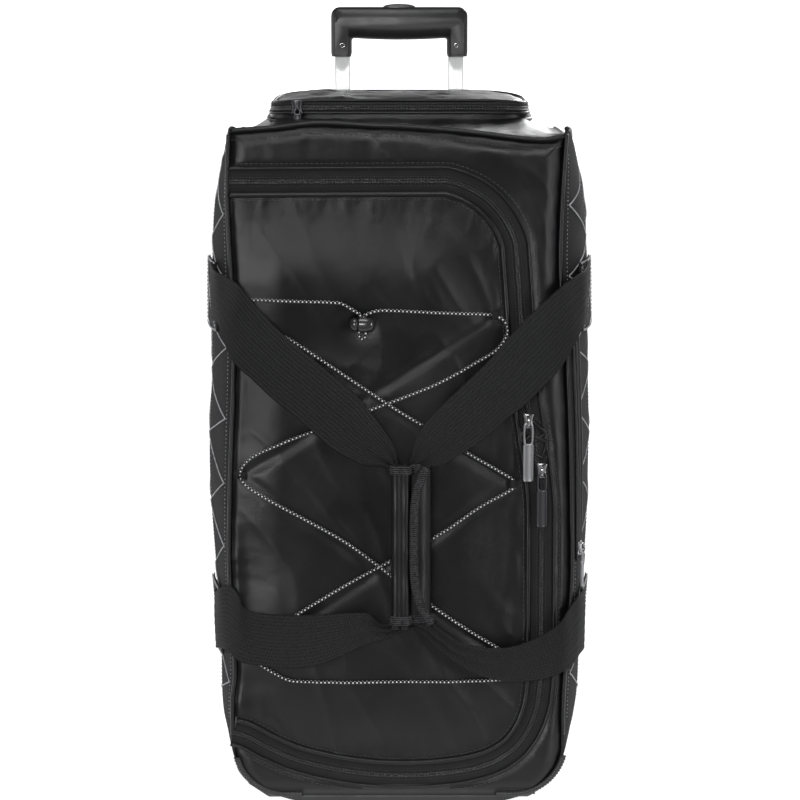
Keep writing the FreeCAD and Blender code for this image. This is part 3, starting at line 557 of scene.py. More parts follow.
SATIN = satin_look()
HEATHER = heather_look()
WEBBING = webbing_look()
TAPE = tape_look()
TRIM = trim_look()
CORD = cord_look()
THREAD = thread_look()
DARK_THREAD = dark_thread_look()
COIL = coil_look()
BASE_PLASTIC = moulded_look("base_plastic", (0.010, 0.010, 0.0108), 0.5)
GRIP_PLASTIC = moulded_look("grip_plastic", (0.010, 0.010, 0.0108), 0.42, 0.00018)
BUTTON_PLASTIC = moulded_look("button_plastic", (0.035, 0.035, 0.037), 0.32, 0.00004)
LOCK_PLASTIC = moulded_look("lock_plastic", (0.022, 0.022, 0.023), 0.26, 0.00002, coat=0.4)
HUB_PLASTIC = moulded_look("hub_plastic", (0.05, 0.05, 0.053), 0.45)
RUBBER = moulded_look("tyre_rubber", (0.016, 0.016, 0.016), 0.72, 0.0002)
BOARD = moulded_look("board", (0.05, 0.05, 0.052), 0.6)
ALUMINIUM = metal_look("bright_aluminium", (0.95, 0.955, 0.96), 0.34, (900, 900, 6))
ALUMINIUM.node_tree.nodes["Principled BSDF"].inputs["Metallic"].default_value = 0.3
STEEL = metal_look("steel", (0.56, 0.56, 0.57), 0.3)
DARK_METAL = metal_look("black_lacquer", (0.075, 0.075, 0.08), 0.36)
SLIDER_METAL = metal_look("polished_slider", (0.38, 0.38, 0.39), 0.22)
PULL_METAL = metal_look("gunmetal", (0.30, 0.30, 0.31), 0.4)


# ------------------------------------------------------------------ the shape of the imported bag
WIDEST = keyed([(0.0, 0.128), (0.012, 0.152), (0.027, 0.165), (0.042, 0.170), (0.062, 0.1765),
                (0.085, 0.1815), (0.157, 0.184), (0.277, 0.1905), (0.347, 0.1915), (0.437, 0.1895),
                (0.567, 0.1855), (0.600, 0.1815), (0.637, 0.1745), (0.668, 0.1675), (0.70, 0.165)])
SEAM_WAVE = keyed([(-0.17, 0.6655), (-0.12, 0.669), (-0.078, 0.6735), (-0.02, 0.6705), (0.0, 0.670),
                   (0.06, 0.6655), (0.131, 0.6575), (0.158, 0.6615), (0.17, 0.664)])
LEFT_ROUND, RIGHT_ROUND = 0.050, 0.052
LEFT_LEAN = keyed([(0.0, -0.001), (0.1, -0.0015), (0.14, 0.0015), (0.24, -0.003), (0.33, -0.001),
                   (0.45, 0.004), (0.52, 0.002), (0.6, -0.001), (0.67, 0.001)])
RIGHT_LEAN = keyed([(0.0, 0.0), (0.1, -0.003), (0.22, 0.004), (0.3, 0.003), (0.37, 0.001), (0.45, -0.003),
                    (0.53, -0.010), (0.6, -0.009), (0.67, -0.005)])


def front_edge(z, side):
    """How far from the middle the front seam runs at a height, on the left (-1) or right (1)."""
    z = np.asarray(z, float)
    size = LEFT_ROUND if side < 0 else RIGHT_ROUND
    drop = np.clip(BASE + size - z, 0, size)
    lean = -LEFT_LEAN(z) if side < 0 else RIGHT_LEAN(z)
    return SEAM + lean - size + np.sqrt(np.maximum(size ** 2 - drop ** 2, 0))


ZIP_TOP = rounded_path([(-SEAM, 0.617, 0), (0.106, 0.6185, 0.066), (0.124, 0.386, 0.3), (0.1375, 0.337, 0.3),
                        (0.1385, 0.160, 0)])
ZIP_FOOT = smooth([(0.1385, 0.150), (0.1375, 0.120), (0.134, 0.096), (0.125, 0.073), (0.110, 0.054),
                   (0.086, 0.040), (0.050, 0.032), (0.0, 0.029), (-0.050, 0.033), (-0.099, 0.044),
                   (-0.130, 0.0575), (-0.150, 0.0685), (-SEAM - 0.004, 0.0740)])
ZIP_LINE = evenly(np.vstack([ZIP_TOP, ZIP_FOOT]), 3 * MM)


def zip_distance(x, z):
    """Distance from the zip's line; positive inside the flap."""
    x, z = np.asarray(x, float), np.asarray(z, float)
    flat = np.column_stack([x.ravel(), z.ravel()])
    near = np.full(len(flat), 9.0)
    inside = np.zeros(len(flat), bool)
    loop = np.vstack([ZIP_LINE, [(-1.0, 0.074), (-1.0, 0.617)]])
    for a, b in zip(loop, np.roll(loop, -1, 0)):
        along = b - a
        crossing = (a[1] > flat[:, 1]) != (b[1] > flat[:, 1])
        if abs(along[1]) > 1e-9:
            inside ^= crossing & (flat[:, 0] < a[0] + along[0] * (flat[:, 1] - a[1]) / along[1])
        if min(a[0], b[0]) > -0.9:
            t = np.clip(((flat - a) @ along) / (along @ along), 0, 1)
            near = np.minimum(near, np.linalg.norm(flat - a - t[:, None] * along, axis=1))
    return np.where(inside, near, -near).reshape(x.shape)


CORD_SPOTS = {"left_high": (-0.152, 0.489), "left_mid": (-0.152, 0.332), "left_low": (-0.150, 0.152),
              "right_high": (0.091, 0.489), "right_mid": (0.110, 0.324), "right_low": (0.112, 0.141)}
LACED = (("left_high", "right_mid"), ("right_mid", "left_low"), ("right_low", "left_mid"),
         ("left_mid", "right_high"))


def lace_distance(x, z):
    """Distance from the nearest stretch of the elastic cord."""
    near = np.full(np.shape(x), 9.0)
    for first, second in LACED:
        a, b = np.array(CORD_SPOTS[first]), np.array(CORD_SPOTS[second])
        along = b - a
        t = np.clip(((x - a[0]) * along[0] + (z - a[1]) * along[1]) / (along @ along), 0, 1)
        near = np.minimum(near, np.hypot(x - a[0] - t * along[0], z - a[1] - t * along[1]))
    return near


def front_swell(x, z):
    """How far the front stands out of its flat plane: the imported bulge, creases and puckers."""
    x, z = np.asarray(x, float), np.asarray(z, float)
    inside = zip_distance(x, z)
    flat = np.stack([x, z * 0, z], -1)
    flap = step_up(0.004, 0.10, inside)
    edge = np.minimum(front_edge(z, 1) - x, x + front_edge(z, -1))
    edge = np.minimum(edge, np.minimum(SEAM_WAVE(x) - z, z - BASE))
    margin = step_up(0.004, 0.022, -inside) * step_up(0.0, 0.016, edge)
    left = step_up(0.0, 0.05, x + front_edge(z, -1))
    fuller = np.exp(-((z - 0.535) / 0.045) ** 2) * 0.0030 + np.exp(-((z - 0.10) / 0.03) ** 2) * 0.0012
    waist = np.exp(-((z - 0.455) / 0.035) ** 2) * 0.0030 * np.exp(-((x + 0.02) / 0.12) ** 4)
    swell = (0.0070 + fuller - waist) * flap * left + 0.0035 * margin
    broad = rough(flat * (1, 1, 0.7), 0.115, 1.0, 2)
    swell += broad * 0.0034 * (0.25 + 0.75 * flap) * step_up(0, 0.02, edge)
    diagonal = np.stack([x * 0.9 + z * 0.55, z * 0, z * 0.9 - x * 0.55], -1)
    crease = 1 - np.abs(rough(diagonal * (1.0, 1, 0.33), 0.055, 4.0, 2)) * 2.2
    swell += np.clip(crease, 0, 1) ** 3 * 0.0011 * step_up(0.0, 0.03, edge)
    pucker = rough(np.stack([x, z * 0, z * 0.25], -1), 0.012, 7.0, 2)
    top_pucker = rough(np.stack([x * 0.9, z * 0, z * 0.15], -1), 0.014, 9.0, 2)
    near_zip = np.exp(-np.abs(inside - 0.02) / 0.012)
    swell += pucker * 0.0010 * near_zip
    swell += top_pucker * 0.0013 * np.exp(-np.maximum(SEAM_WAVE(x) - z, 0) / 0.018)
    side_pucker = rough(np.stack([x * 0.15, z * 0, z], -1), 0.015, 11.0, 2)
    swell += side_pucker * 0.0010 * np.exp(-np.maximum(edge, 0) / 0.014)
    low = step_up(0.17, 0.05, z) * step_up(0.005, 0.03, inside)
    drape = rough(np.stack([x * 0.8 + z * 0.5, z * 0, z * 1.8 - x * 0.5], -1), 0.07, 13.0, 1)
    swell += drape * 0.0020 * low
    lean = np.exp(-((x - 0.09) / 0.05) ** 2) * step_up(0.605, 0.655, z)
    swell += 0.0045 * lean * step_up(0.0, 0.02, edge)
    swell -= 0.0016 * np.exp(-(lace_distance(x, z) / 0.006) ** 2) * step_up(0.0, 0.02, inside)
    swell -= 0.0045 * np.exp(-(((x - LOCK[0]) / 0.018) ** 2 + ((z - LOCK[2]) / 0.014) ** 2))
    swell -= 0.0035 * (1 - step_up(0.0, 0.007, edge))
    gutter = np.exp(-(inside / 0.0125) ** 4)
    return swell * (1 - gutter) - 0.0006 * gutter


SWELL_STEP = 2.5 * MM
SWELL_X = np.arange(-SEAM - 0.012, SEAM + 0.0121, SWELL_STEP)
SWELL_Z = np.arange(0.0, 0.70, SWELL_STEP)
SWELL = front_swell(*np.meshgrid(SWELL_X, SWELL_Z, indexing="ij"))


def front_y(x, z):
    """The Y of the front's surface at a place, read from the swell worked out once."""
    i = np.clip((np.asarray(x, float) - SWELL_X[0]) / SWELL_STEP, 0, len(SWELL_X) - 1.001)
    j = np.clip((np.asarray(z, float) - SWELL_Z[0]) / SWELL_STEP, 0, len(SWELL_Z) - 1.001)
    a, b = i.astype(int), j.astype(int)
    s, t = i - a, j - b
    value = ((1 - s) * (1 - t) * SWELL[a, b] + s * (1 - t) * SWELL[a + 1, b]
             + (1 - s) * t * SWELL[a, b + 1] + s * t * SWELL[a + 1, b + 1])
    return FRONT - value


def on_front(flat, lift=0.0):
    """Points (x, z) laid on the front, lifted off it."""
    flat = np.asarray(flat, float)
    return np.column_stack([flat[:, 0], front_y(flat[:, 0], flat[:, 1]) - lift, flat[:, 1]])


def top_drop(x, y):
    """How far the top end sinks behind the front seam, at its left and right."""
    return 0.020 * step_up(0.118, 0.160, np.abs(x)) * step_up(FRONT + 0.004, FRONT + 0.085, y)


def side_point(z, s, side, lift=0.0):
    """A place on a side panel: s runs from the front seam, 0, to the back seam, 1."""
    z, s = np.broadcast_arrays(np.asarray(z, float), np.asarray(s, float))
    near = front_edge(z, side)
    far = SEAM - 0.02 * step_up(0.06, 0.0, z)
    wide = WIDEST(z)
    lobe = np.sin(math.pi * np.clip(s, 0, 1)) ** 0.62
    x = near + (far - near) * s
    x = x + (wide - x) * lobe
    y = FRONT + (BACK - FRONT) * s
    flat = np.stack([y * 0 + side, y, z], -1)
    x = x + lobe * rough(flat * (1, 1, 0.6), 0.09, 21.0 + side, 2) * 0.0026 * step_up(0.0, 0.05, z)
    return np.stack([side * (x + lift), y, z], -1)


# ------------------------------------------------------------------ front, sides, back
def front_cloth():
    """The flap and the panel round it, cut apart along the zip."""
    rows, columns = 300, 152
    t = np.linspace(0, 1, rows)[:, None]
    u = np.linspace(-1, 1, columns)[None, :]
    z = BASE + 0.001 + t * (TOP - BASE)
    x = np.where(u < 0, u * front_edge(z, -1), u * front_edge(z, 1))
    z = BASE + 0.001 + t * (SEAM_WAVE(x) - BASE - 0.001)
    x = np.where(u < 0, u * front_edge(z, -1), u * front_edge(z, 1))
    points = np.stack([x, front_y(x, z), z], -1)
    middle = (points[:-1, :-1] + points[1:, 1:]) / 2
    inside = zip_distance(middle[..., 0], middle[..., 2]).ravel() > 0
    flap = grid("main_flap_cloth", points, SATIN, keep=inside, thick=1.2 * MM)
    panel = grid("front_panel_cloth", points, SATIN, keep=~inside, thick=1.2 * MM)
    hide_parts("main_flap")
    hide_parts("front_panel")


def side_cloth():
    """The two bulging side panels."""
    rows, columns = 220, 84
    s = np.linspace(0, 1, columns)[None, :]
    rise = np.linspace(0, 1, rows)[:, None]
    for side, name in SIDES:
        z = BASE + 0.004 + rise * (TOP - top_drop(SEAM, FRONT + (BACK - FRONT) * s) - BASE - 0.004)
        points = side_point(z, s, side)
        sheet = grid(name + "_side_cloth", points, HEATHER, flip=side < 0, thick=1.2 * MM)
        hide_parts(name + "_side_panel")


def piping(name, path, normals, radius=2.1 * MM, material=SATIN):
    """A round cord of cloth along a seam."""
    piece = sweep(name, evenly(path, 4 * MM), normals, ring_of(radius, radius, 10), material)
    return piece


def seams():
    """Piping along the front seams, the top seam and the back seams, and the rows of stitches."""
    for side, name in SIDES:
        z = np.linspace(0.07, 0.662, 150)
        x = side * (front_edge(z, side) + 0.0008)
        path = np.column_stack([x, np.full(len(z), FRONT + 0.0005), z])
        piping(name + "_front_piping", path, OUT)
        for s, label in ((0.025, "inner"), (0.30, "outer")):
            line = side_point(z[4:-4], np.full(len(z) - 8, s), side, 0.6 * MM)
            normal = np.array((side * 0.7, -0.7, 0))
            piece = dashes("%s_%s_topstitch" % (name, label), evenly(line, 2 * MM), normal, THREAD,
                           long=2.4 * MM, gap=2.4 * MM, radius=0.34 * MM)
        z = np.linspace(0.07, TOP - 0.020, 140)
        back = side_point(z, np.full(len(z), 0.998), side)
        piping(name + "_back_piping", back, (side, 1, 0))
    x = np.linspace(-SEAM + 0.002, SEAM - 0.006, 160)
    path = np.column_stack([x, x * 0 + FRONT + 0.001, SEAM_WAVE(x) - 0.0005])
    piping("top_front_piping", path, UP, 2.6 * MM)
    path = np.column_stack([x, front_y(x, SEAM_WAVE(x) - 0.010) - 0.0006, SEAM_WAVE(x) - 0.0095])
    piece = dashes("top_front_stitch", path, OUT, DARK_THREAD)


def zigzags():
    """The pale decorative threads that wander down both side panels."""
    for side, name in SIDES:
        lines = []
        for row, (near, far, period, start) in enumerate((
                (0.035, 0.34, 0.066, 0.02), (0.36, 0.62, 0.075, 0.05), (0.64, 0.95, 0.07, 0.03))):
            knots, z, turn = [], 0.085 + start * 0.4, 0
            while z < 0.655:
                knots.append((near if turn % 2 else far, z))
                z += period * (0.5 + 0.08 * math.sin(turn * 2.3 + row * 1.7 + side))
                turn += 1
            path = []
            for (s0, z0), (s1, z1) in zip(knots, knots[1:]):
                t = np.linspace(0, 1, 12, endpoint=False)
                bow = np.sin(math.pi * t) * 0.012 * (1 if s1 > s0 else -1)
                path.append(side_point(z0 + (z1 - z0) * t, s0 + (s1 - s0) * t + bow, side, 0.6 * MM))
            path = evenly(np.vstack(path), 3 * MM)
            lines.append(sweep("thread", path, (side, -0.3, 0), ring_of(0.75 * MM, 0.6 * MM, 6), THREAD))
        joined(name + "_side_threads", lines)


def back_cloth():
    """The back: a plain padded panel, and the skid rails with their ribs."""
    rows, columns = 160, 90
    u = np.linspace(-1, 1, columns)[None, :]
    z = 0.02 + np.linspace(0, 1, rows)[:, None] * (TOP - 0.021 - top_drop(u * SEAM, BACK))
    x = u * (SEAM - 0.001) + z * 0
    depth = 0.0012 * np.cos(u * math.pi / 2) + z * 0
    flat = np.stack([x, x * 0, z + x * 0], -1)
    depth = depth + rough(flat, 0.08, 31.0, 2) * 0.0012 * (1 - u ** 4)
    bay = (np.abs(np.abs(x) - 0.142) < 0.022) & (z < 0.080)
    points = np.stack([x, BACK - 0.0015 + depth, z + x * 0], -1)
    centre = bay[:-1, :-1] & bay[1:, 1:]
    sheet = grid("back_cloth", points, TAPE, flip=True, keep=~centre.ravel(), thick=1.2 * MM)
    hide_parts("back_panel")
    low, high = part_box("skid_rails")
    for side, name in SIDES:
        x0, x1 = sorted((side * high.x, side * (high.x - 0.014)))
        middle = (x0 + x1) / 2
        section = ring_of(0.007, 0.0078, 16, 0.55)
        section[:, 1] = np.maximum(section[:, 1], 0)
        z = np.linspace(low.z, high.z, 90)
        end = np.clip(np.minimum(z - low.z, high.z - z) / 0.012, 0, 1)
        scale = np.column_stack([0.35 + 0.65 * np.sqrt(1 - (1 - end) ** 2),
                                 0.15 + 0.85 * np.sqrt(1 - (1 - end) ** 2)])
        path = np.column_stack([z * 0 + middle, z * 0 + BACK, z])
        rail = sweep(name + "_skid", path, (0, 1, 0), section, BASE_PLASTIC, scale=scale)
        spots = np.arange(low.z + 0.05, high.z - 0.05, 0.02)
        ribs = [solid_box((middle - 0.0022, high.y - 0.0005, at),
                          (middle + 0.0022, high.y + 0.0006, at + 0.012), 0.0004, BASE_PLASTIC, "rib",
                          segments=1) for at in spots]
        joined(name + "_skid_ribs", ribs)
        if side < 0:
            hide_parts("skid_rails")


# ------------------------------------------------------------------ zips
def zip_band(name, path, normals, half, body="body", inner=2.6 * MM, outer=1.9 * MM):
    """Tape, a pair of coil ridges, folded welts and stitches along a path with outward normals."""
    path = np.asarray(path, float)
    normals = match(normals, path, path)
    _, normal, across = frames(path, normals)
    width = half - 1.5 * MM
    section = [(-width, -0.4), (-width, 0.4), (-half * 0.4, 0.7), (0, 0.8), (half * 0.4, 0.7), (width, 0.4),
               (width, -0.4)]
    section = [(a, b * MM) for a, b in section]
    tape = sweep(name + "_tape", path, normal, section[::-1], TAPE, body)
    fine = evenly(path, 1.6 * MM)
    up = match(normal, path, fine)
    ridge = np.array([(-2.4, 0.5), (-2.1, 1.6), (-1.3, 2.0), (-0.5, 1.5), (0, 0.9), (0.5, 1.5), (1.3, 2.0),
                      (2.1, 1.6), (2.4, 0.5)]) * MM
    coil = sweep(name + "_coil", fine, up, ridge[::-1], COIL, body)
    for way, label, radius in ((1, "inner", inner), (-1, "outer", outer)):
        row = path + across * way * 4.2 * MM + normal * 0.9 * MM
        piece = dashes("%s_%s_coil_stitch" % (name, label), row, normal, DARK_THREAD, body, 2.2 * MM,
                       1.0 * MM, 0.35 * MM)
        if radius:
            edge = path + across * way * (half - 0.8 * MM) + normal * 0.5 * MM
            fold = sweep("%s_%s_welt" % (name, label), edge, normal, ring_of(radius, radius * 0.8, 12), SATIN,
                         body)
    return tape


def main_zip():
    """The long zip round the flap, with a row of stitches on each side of it."""
    line = ZIP_LINE[(ZIP_LINE[:, 0] > -front_edge(ZIP_LINE[:, 1], -1) - 0.0005)]
    flat = evenly(line, 3 * MM)
    path = np.column_stack([flat[:, 0], flat[:, 0] * 0 + FRONT - 0.0002, flat[:, 1]])
    tape = zip_band("main_zip", path, OUT, 13.5 * MM)
    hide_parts("main_zip")
    along = np.gradient(flat, axis=0)
    along /= np.linalg.norm(along, axis=1)[:, None]
    side = np.column_stack([-along[:, 1], along[:, 0]])
    for amount, label in ((17.5, "panel"), (-17.5, "flap")):
        row = flat + side * amount * MM
        row = row[(np.abs(row[:, 0]) < front_edge(row[:, 1], -1) - 0.004) & (row[:, 1] > BASE + 0.004)]
        piece = dashes("main_zip_%s_topstitch" % label, on_front(row, 0.4 * MM), OUT, DARK_THREAD)


SIDE_ZIP_Y = -0.118


def side_pocket_zip():
    """The upright zip of the pocket in the right side panel."""
    low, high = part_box("side_zip")
    z = np.linspace(low.z, high.z + 0.03, 70)
    s = (SIDE_ZIP_Y - FRONT) / (BACK - FRONT)
    path = side_point(z, np.full(len(z), s), 1, 0.8 * MM)
    ahead = side_point(z, np.full(len(z), s + 0.01), 1) - side_point(z, np.full(len(z), s - 0.01), 1)
    normal = np.cross(ahead, UP)
    normal /= np.linalg.norm(normal, axis=1)[:, None]
    tape = zip_band("side_zip", path, normal, 9 * MM, inner=1.6 * MM, outer=1.6 * MM)
    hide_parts("side_zip")


# ------------------------------------------------------------------ the top end
def plan_half(y):
    """Half the width of the bag's top at a depth."""
    s = np.clip((np.asarray(y, float) - FRONT) / (BACK - FRONT), 0, 1)
    return side_point(np.full(np.shape(s), TOP), s, 1)[..., 0]


def top_cloth():
    """The top end: loose satin that sinks at its left and right, with piping along both edges."""
    rows, columns = 110, 130
    v = np.linspace(0, 1, rows)[:, None]
    u = np.linspace(-1, 1, columns)[None, :]
    y = FRONT + 0.001 + v * (BACK - FRONT - 0.002) + u * 0
    x = u * plan_half(y)
    lead = np.exp(-(y - FRONT) / 0.03)
    z = TOP * (1 - lead) + (SEAM_WAVE(x) - 0.001) * lead
    z = z + 0.004 * (1 - u ** 4) * np.sin(math.pi * np.clip(v * 1.15, 0, 1))
    flat = np.stack([x, y, x * 0], -1)
    fold = rough(flat * (1, 0.5, 1), 0.05, 41.0, 3)
    z = z + fold * 0.0028 * step_up(0, 0.02, y - FRONT) * (1 - np.abs(u) ** 6)
    z = z - top_drop(x, y)
    under_bezel = (np.abs(x) < 0.085) & (y > 0.118)
    z = np.where(under_bezel, np.minimum(z, TOP - 0.0005), z)
    sheet = grid("top_end_cloth", np.stack([x, y, z], -1), SATIN, thick=1.0 * MM)
    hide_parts("top_end_panel")
    for side in (-1, 1):
        y = np.linspace(FRONT, BACK - 0.002, 90)
        edge = np.column_stack([side * plan_half(y), y, TOP - 0.0005 - top_drop(SEAM, y)])
        piping(("left" if side < 0 else "right") + "_top_piping", edge, UP, 2.2 * MM)


def pocket_outline(grow, count=160):
    """The top pocket's rounded plan outline, grown outwards, starting at its back."""
    half, front, back = pocket_high.x + grow, pocket_low.y - grow, pocket_high.y + grow
    a = np.linspace(0.5 * math.pi, 2.5 * math.pi, count, endpoint=False)
    c, s = np.cos(a), np.sin(a)
    power = 0.42
    x = np.sign(c) * np.abs(c) ** power * half
    y = (front + back) / 2 + np.sign(s) * np.abs(s) ** power * (back - front) / 2
    return np.column_stack([x, y])


def pocket_drop(x):
    """How far the pocket's lid and zip slope down towards its two ends."""
    return 6.5 * MM * np.clip(np.abs(x) / pocket_high.x, 0, 1.05) ** 7


def top_pocket():
    """The puffed pocket on the top end, its zip and its binding."""
    rim = pocket_outline(0)
    centre = np.array((0, (pocket_low.y + pocket_high.y) / 2))
    rings = []
    profile = [(0.985, TOP - 0.004), (0.985, TOP + 0.002), (0.972, TOP + 0.008), (0.956, TOP + 0.014),
               (0.935, TOP + 0.0185), (0.90, TOP + 0.0212)]
    profile += [(f, TOP + 0.0212 + 0.0028 * (1 - f ** 2)) for f in np.linspace(0.86, 0.02, 26)]
    for shrink, z in profile:
        flat = centre + (rim - centre) * shrink
        ring = np.column_stack([flat, np.full(len(flat), z)])
        ring[:, 2] += rough(ring * (1, 0.6, 0), 0.045, 51.0, 3) * 0.0026 * step_up(1.0, 0.93, shrink)
        ring[:, :2] += (flat - centre) * 0.012 * rough(ring * (1, 1, 0), 0.03, 53.0, 2)[:, None]
        ring[:, 2] -= pocket_drop(ring[:, 0]) * float(np.clip((z - TOP) / 0.018, 0, 1))
        rings.append(ring)
    points = np.array(rings)
    sheet = grid("top_pocket_cloth", points, SATIN, wrap=True)
    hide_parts("top_pocket")
    outline = centre + (pocket_outline(1.2 * MM, 400) - centre) * 0.955
    chosen = outline[outline[:, 1] < 0.03]
    order = np.argsort(np.unwrap(np.arctan2(chosen[:, 1] - centre[1], chosen[:, 0])))
    path = evenly(np.column_stack([chosen[order], np.full(len(order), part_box("top_zip")[0].z + 4 * MM)]),
                  3 * MM)
    path[:, 2] -= 0.6 * pocket_drop(path[:, 0])
    along = np.gradient(path, axis=0)
    normal = np.cross(along, UP)
    normal /= np.linalg.norm(normal, axis=1)[:, None]
    tape = zip_band("top_zip", path, normal, 7 * MM, inner=0, outer=0)
    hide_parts("top_zip")
    for height, radius, shrink in ((0.0175, 1.6 * MM, 0.942), (0.0055, 1.4 * MM, 0.972),
                                   (-0.0025, 1.9 * MM, 0.985)):
        edge = centre + (pocket_outline(0.8 * MM, 200) - centre) * shrink
        droop = pocket_drop(edge[:, 0]) * max(0, height / 0.0175)
        loop = np.column_stack([edge, TOP + 0.0035 + height - droop])
        piece = sweep("top_pocket_binding_%d" % (shrink * 1000), evenly(loop, 4 * MM, True), UP,
                      ring_of(radius, radius, 10), SATIN, closed=True)


front_cloth()
side_cloth()
seams()
zigzags()
back_cloth()
main_zip()
side_pocket_zip()
top_cloth()
top_pocket()


# ------------------------------------------------------------------ sliders and pulls
def slider_frame(node, turn=0.0):
    """Where a CAD slider is: the middle of its back, and its outward and across directions."""
    low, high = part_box(node)
    out = np.array((math.sin(turn), -math.cos(turn), 0.0))
    across = np.array((math.cos(turn), math.sin(turn), 0.0))
    middle = midpoint(low, high)
    return middle - out * 3.8 * MM, out, across


def local(origin, out, across, points):
    """Points given as (across, out, up) from an origin."""
    return np.array([origin + across * a + out * b + UP * c for a, b, c in points])


def slider_piece(node, body, turn=0.0, wide=12 * MM, material=None):
    """A slider: a waisted top plate with side flanges, and its arched bail."""
    material = material or SLIDER_METAL
    origin, out, across = slider_frame(node, turn)
    rows = 15
    z = np.linspace(-7, 7, rows) * MM
    shape = 0.5 * wide * (0.72 + 0.28 * np.abs(z / (7 * MM)) ** 1.4)
    shape[0] *= 0.9
    shape[-1] *= 0.9
    ring = []
    for height, half in zip(z, shape):
        crown = 2.6 * MM + 0.6 * MM * math.cos(height / (7 * MM) * 1.4)
        ring.append(local(origin, out, across, [
            (-half, 0.2 * MM, height), (-half, 1.6 * MM, height), (-half * 0.8, crown - 0.4 * MM, height),
            (0, crown, height), (half * 0.8, crown - 0.4 * MM, height), (half, 1.6 * MM, height),
            (half, 0.2 * MM, height), (0, 0.6 * MM, height)]))
    faces = grid_faces(rows, 8, wrap=True) + [list(range(8))[::-1], [(rows - 1) * 8 + k for k in range(8)]]
    plate = build(node + "_plate", np.vstack(ring), faces, material, body)
    clean(plate)
    turns = np.linspace(0.05, 3.09, 17)
    arc = [(0, 2.9 * MM + 4.0 * MM * math.sin(a) ** 0.8, -5 * MM * math.cos(a)) for a in turns]
    bail = sweep(node + "_bail", local(origin, out, across, arc), across, ring_of(0.9 * MM, 1.3 * MM, 8, 0.7),
                 material, body)
    clean(bail)
    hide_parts(node)


def pull_piece(node, slider_node, body, link, tab, half, tab_material, turn=0.0):
    """A pull: a wire ring through the bail and a flat tab with a raised rim."""
    origin, out, across = slider_frame(slider_node, turn)
    top = -2 * MM
    loop = []
    for a in np.linspace(0, 2 * math.pi, 40, endpoint=False):
        c, s = math.cos(a), math.sin(a)
        loop.append((math.copysign(abs(s) ** 0.45, s) * (half - 1.0 * MM), 4.9 * MM,
                     top - (link + 1 * MM) / 2 + math.copysign(abs(c) ** 0.5, c) * (link + 1 * MM) / 2))
    ring = sweep(node + "_ring", local(origin, out, across, loop), out, ring_of(1.1 * MM, 0.8 * MM, 8, 0.7),
                 tab_material, body, closed=True)
    clean(ring)
    rows = 26
    t = np.linspace(0, 1, rows)
    z = top - link - t * tab
    end = np.minimum(t, 1 - t) * tab
    wide = half * (1 - 0.25 * np.clip(1 - end / (1.6 * MM), 0, 1) ** 2)
    points = []
    for height, w in zip(z, wide):
        points.append(local(origin, out, across, [
            (-w, 4.0 * MM, height), (-w, 5.4 * MM, height), (-w * 0.82, 5.8 * MM, height),
            (-w * 0.66, 5.15 * MM, height), (0, 5.1 * MM, height), (w * 0.66, 5.15 * MM, height),
            (w * 0.82, 5.8 * MM, height), (w, 5.4 * MM, height), (w, 4.0 * MM, height),
            (0, 4.0 * MM, height)]))
    faces = grid_faces(rows, 10, wrap=True) + [list(range(10))[::-1],
                                               [(rows - 1) * 10 + k for k in range(10)]]
    plate = build(node + "_tab", np.vstack(points), faces, tab_material, body)
    clean(plate)
    soften(plate, 0.25 * MM, 2, 50)
    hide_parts(node)


def side_turn():
    """The way the side panel faces at its zip, on the arc that its bulge follows."""
    arc_radius, arc_centre_y = 0.3739, 0.0065
    return math.pi / 2 - math.asin((arc_centre_y - SIDE_ZIP_Y) / arc_radius)


slider_piece("main_slider_upper", "slider_upper")
pull_piece("main_pull_upper", "main_slider_upper", "pull_upper", 20 * MM, 37 * MM, 5 * MM, PULL_METAL)
slider_piece("main_slider_lower", "slider_lower")
pull_piece("main_pull_lower", "main_slider_lower", "pull_lower", 17 * MM, 36 * MM, 5 * MM, DARK_METAL)
slider_piece("side_slider", "slider_side", side_turn())
pull_piece("side_pull", "side_slider", "pull_side", 10 * MM, 27 * MM, 3.5 * MM, PULL_METAL, side_turn())
slider_piece("top_slider", "slider_top", material=DARK_METAL)
pull_piece("top_pull", "top_slider", "pull_top", 4 * MM, 8 * MM, 3.5 * MM, DARK_METAL)


# ------------------------------------------------------------------ the webbing handles and their wrap
WEB = 50 * MM


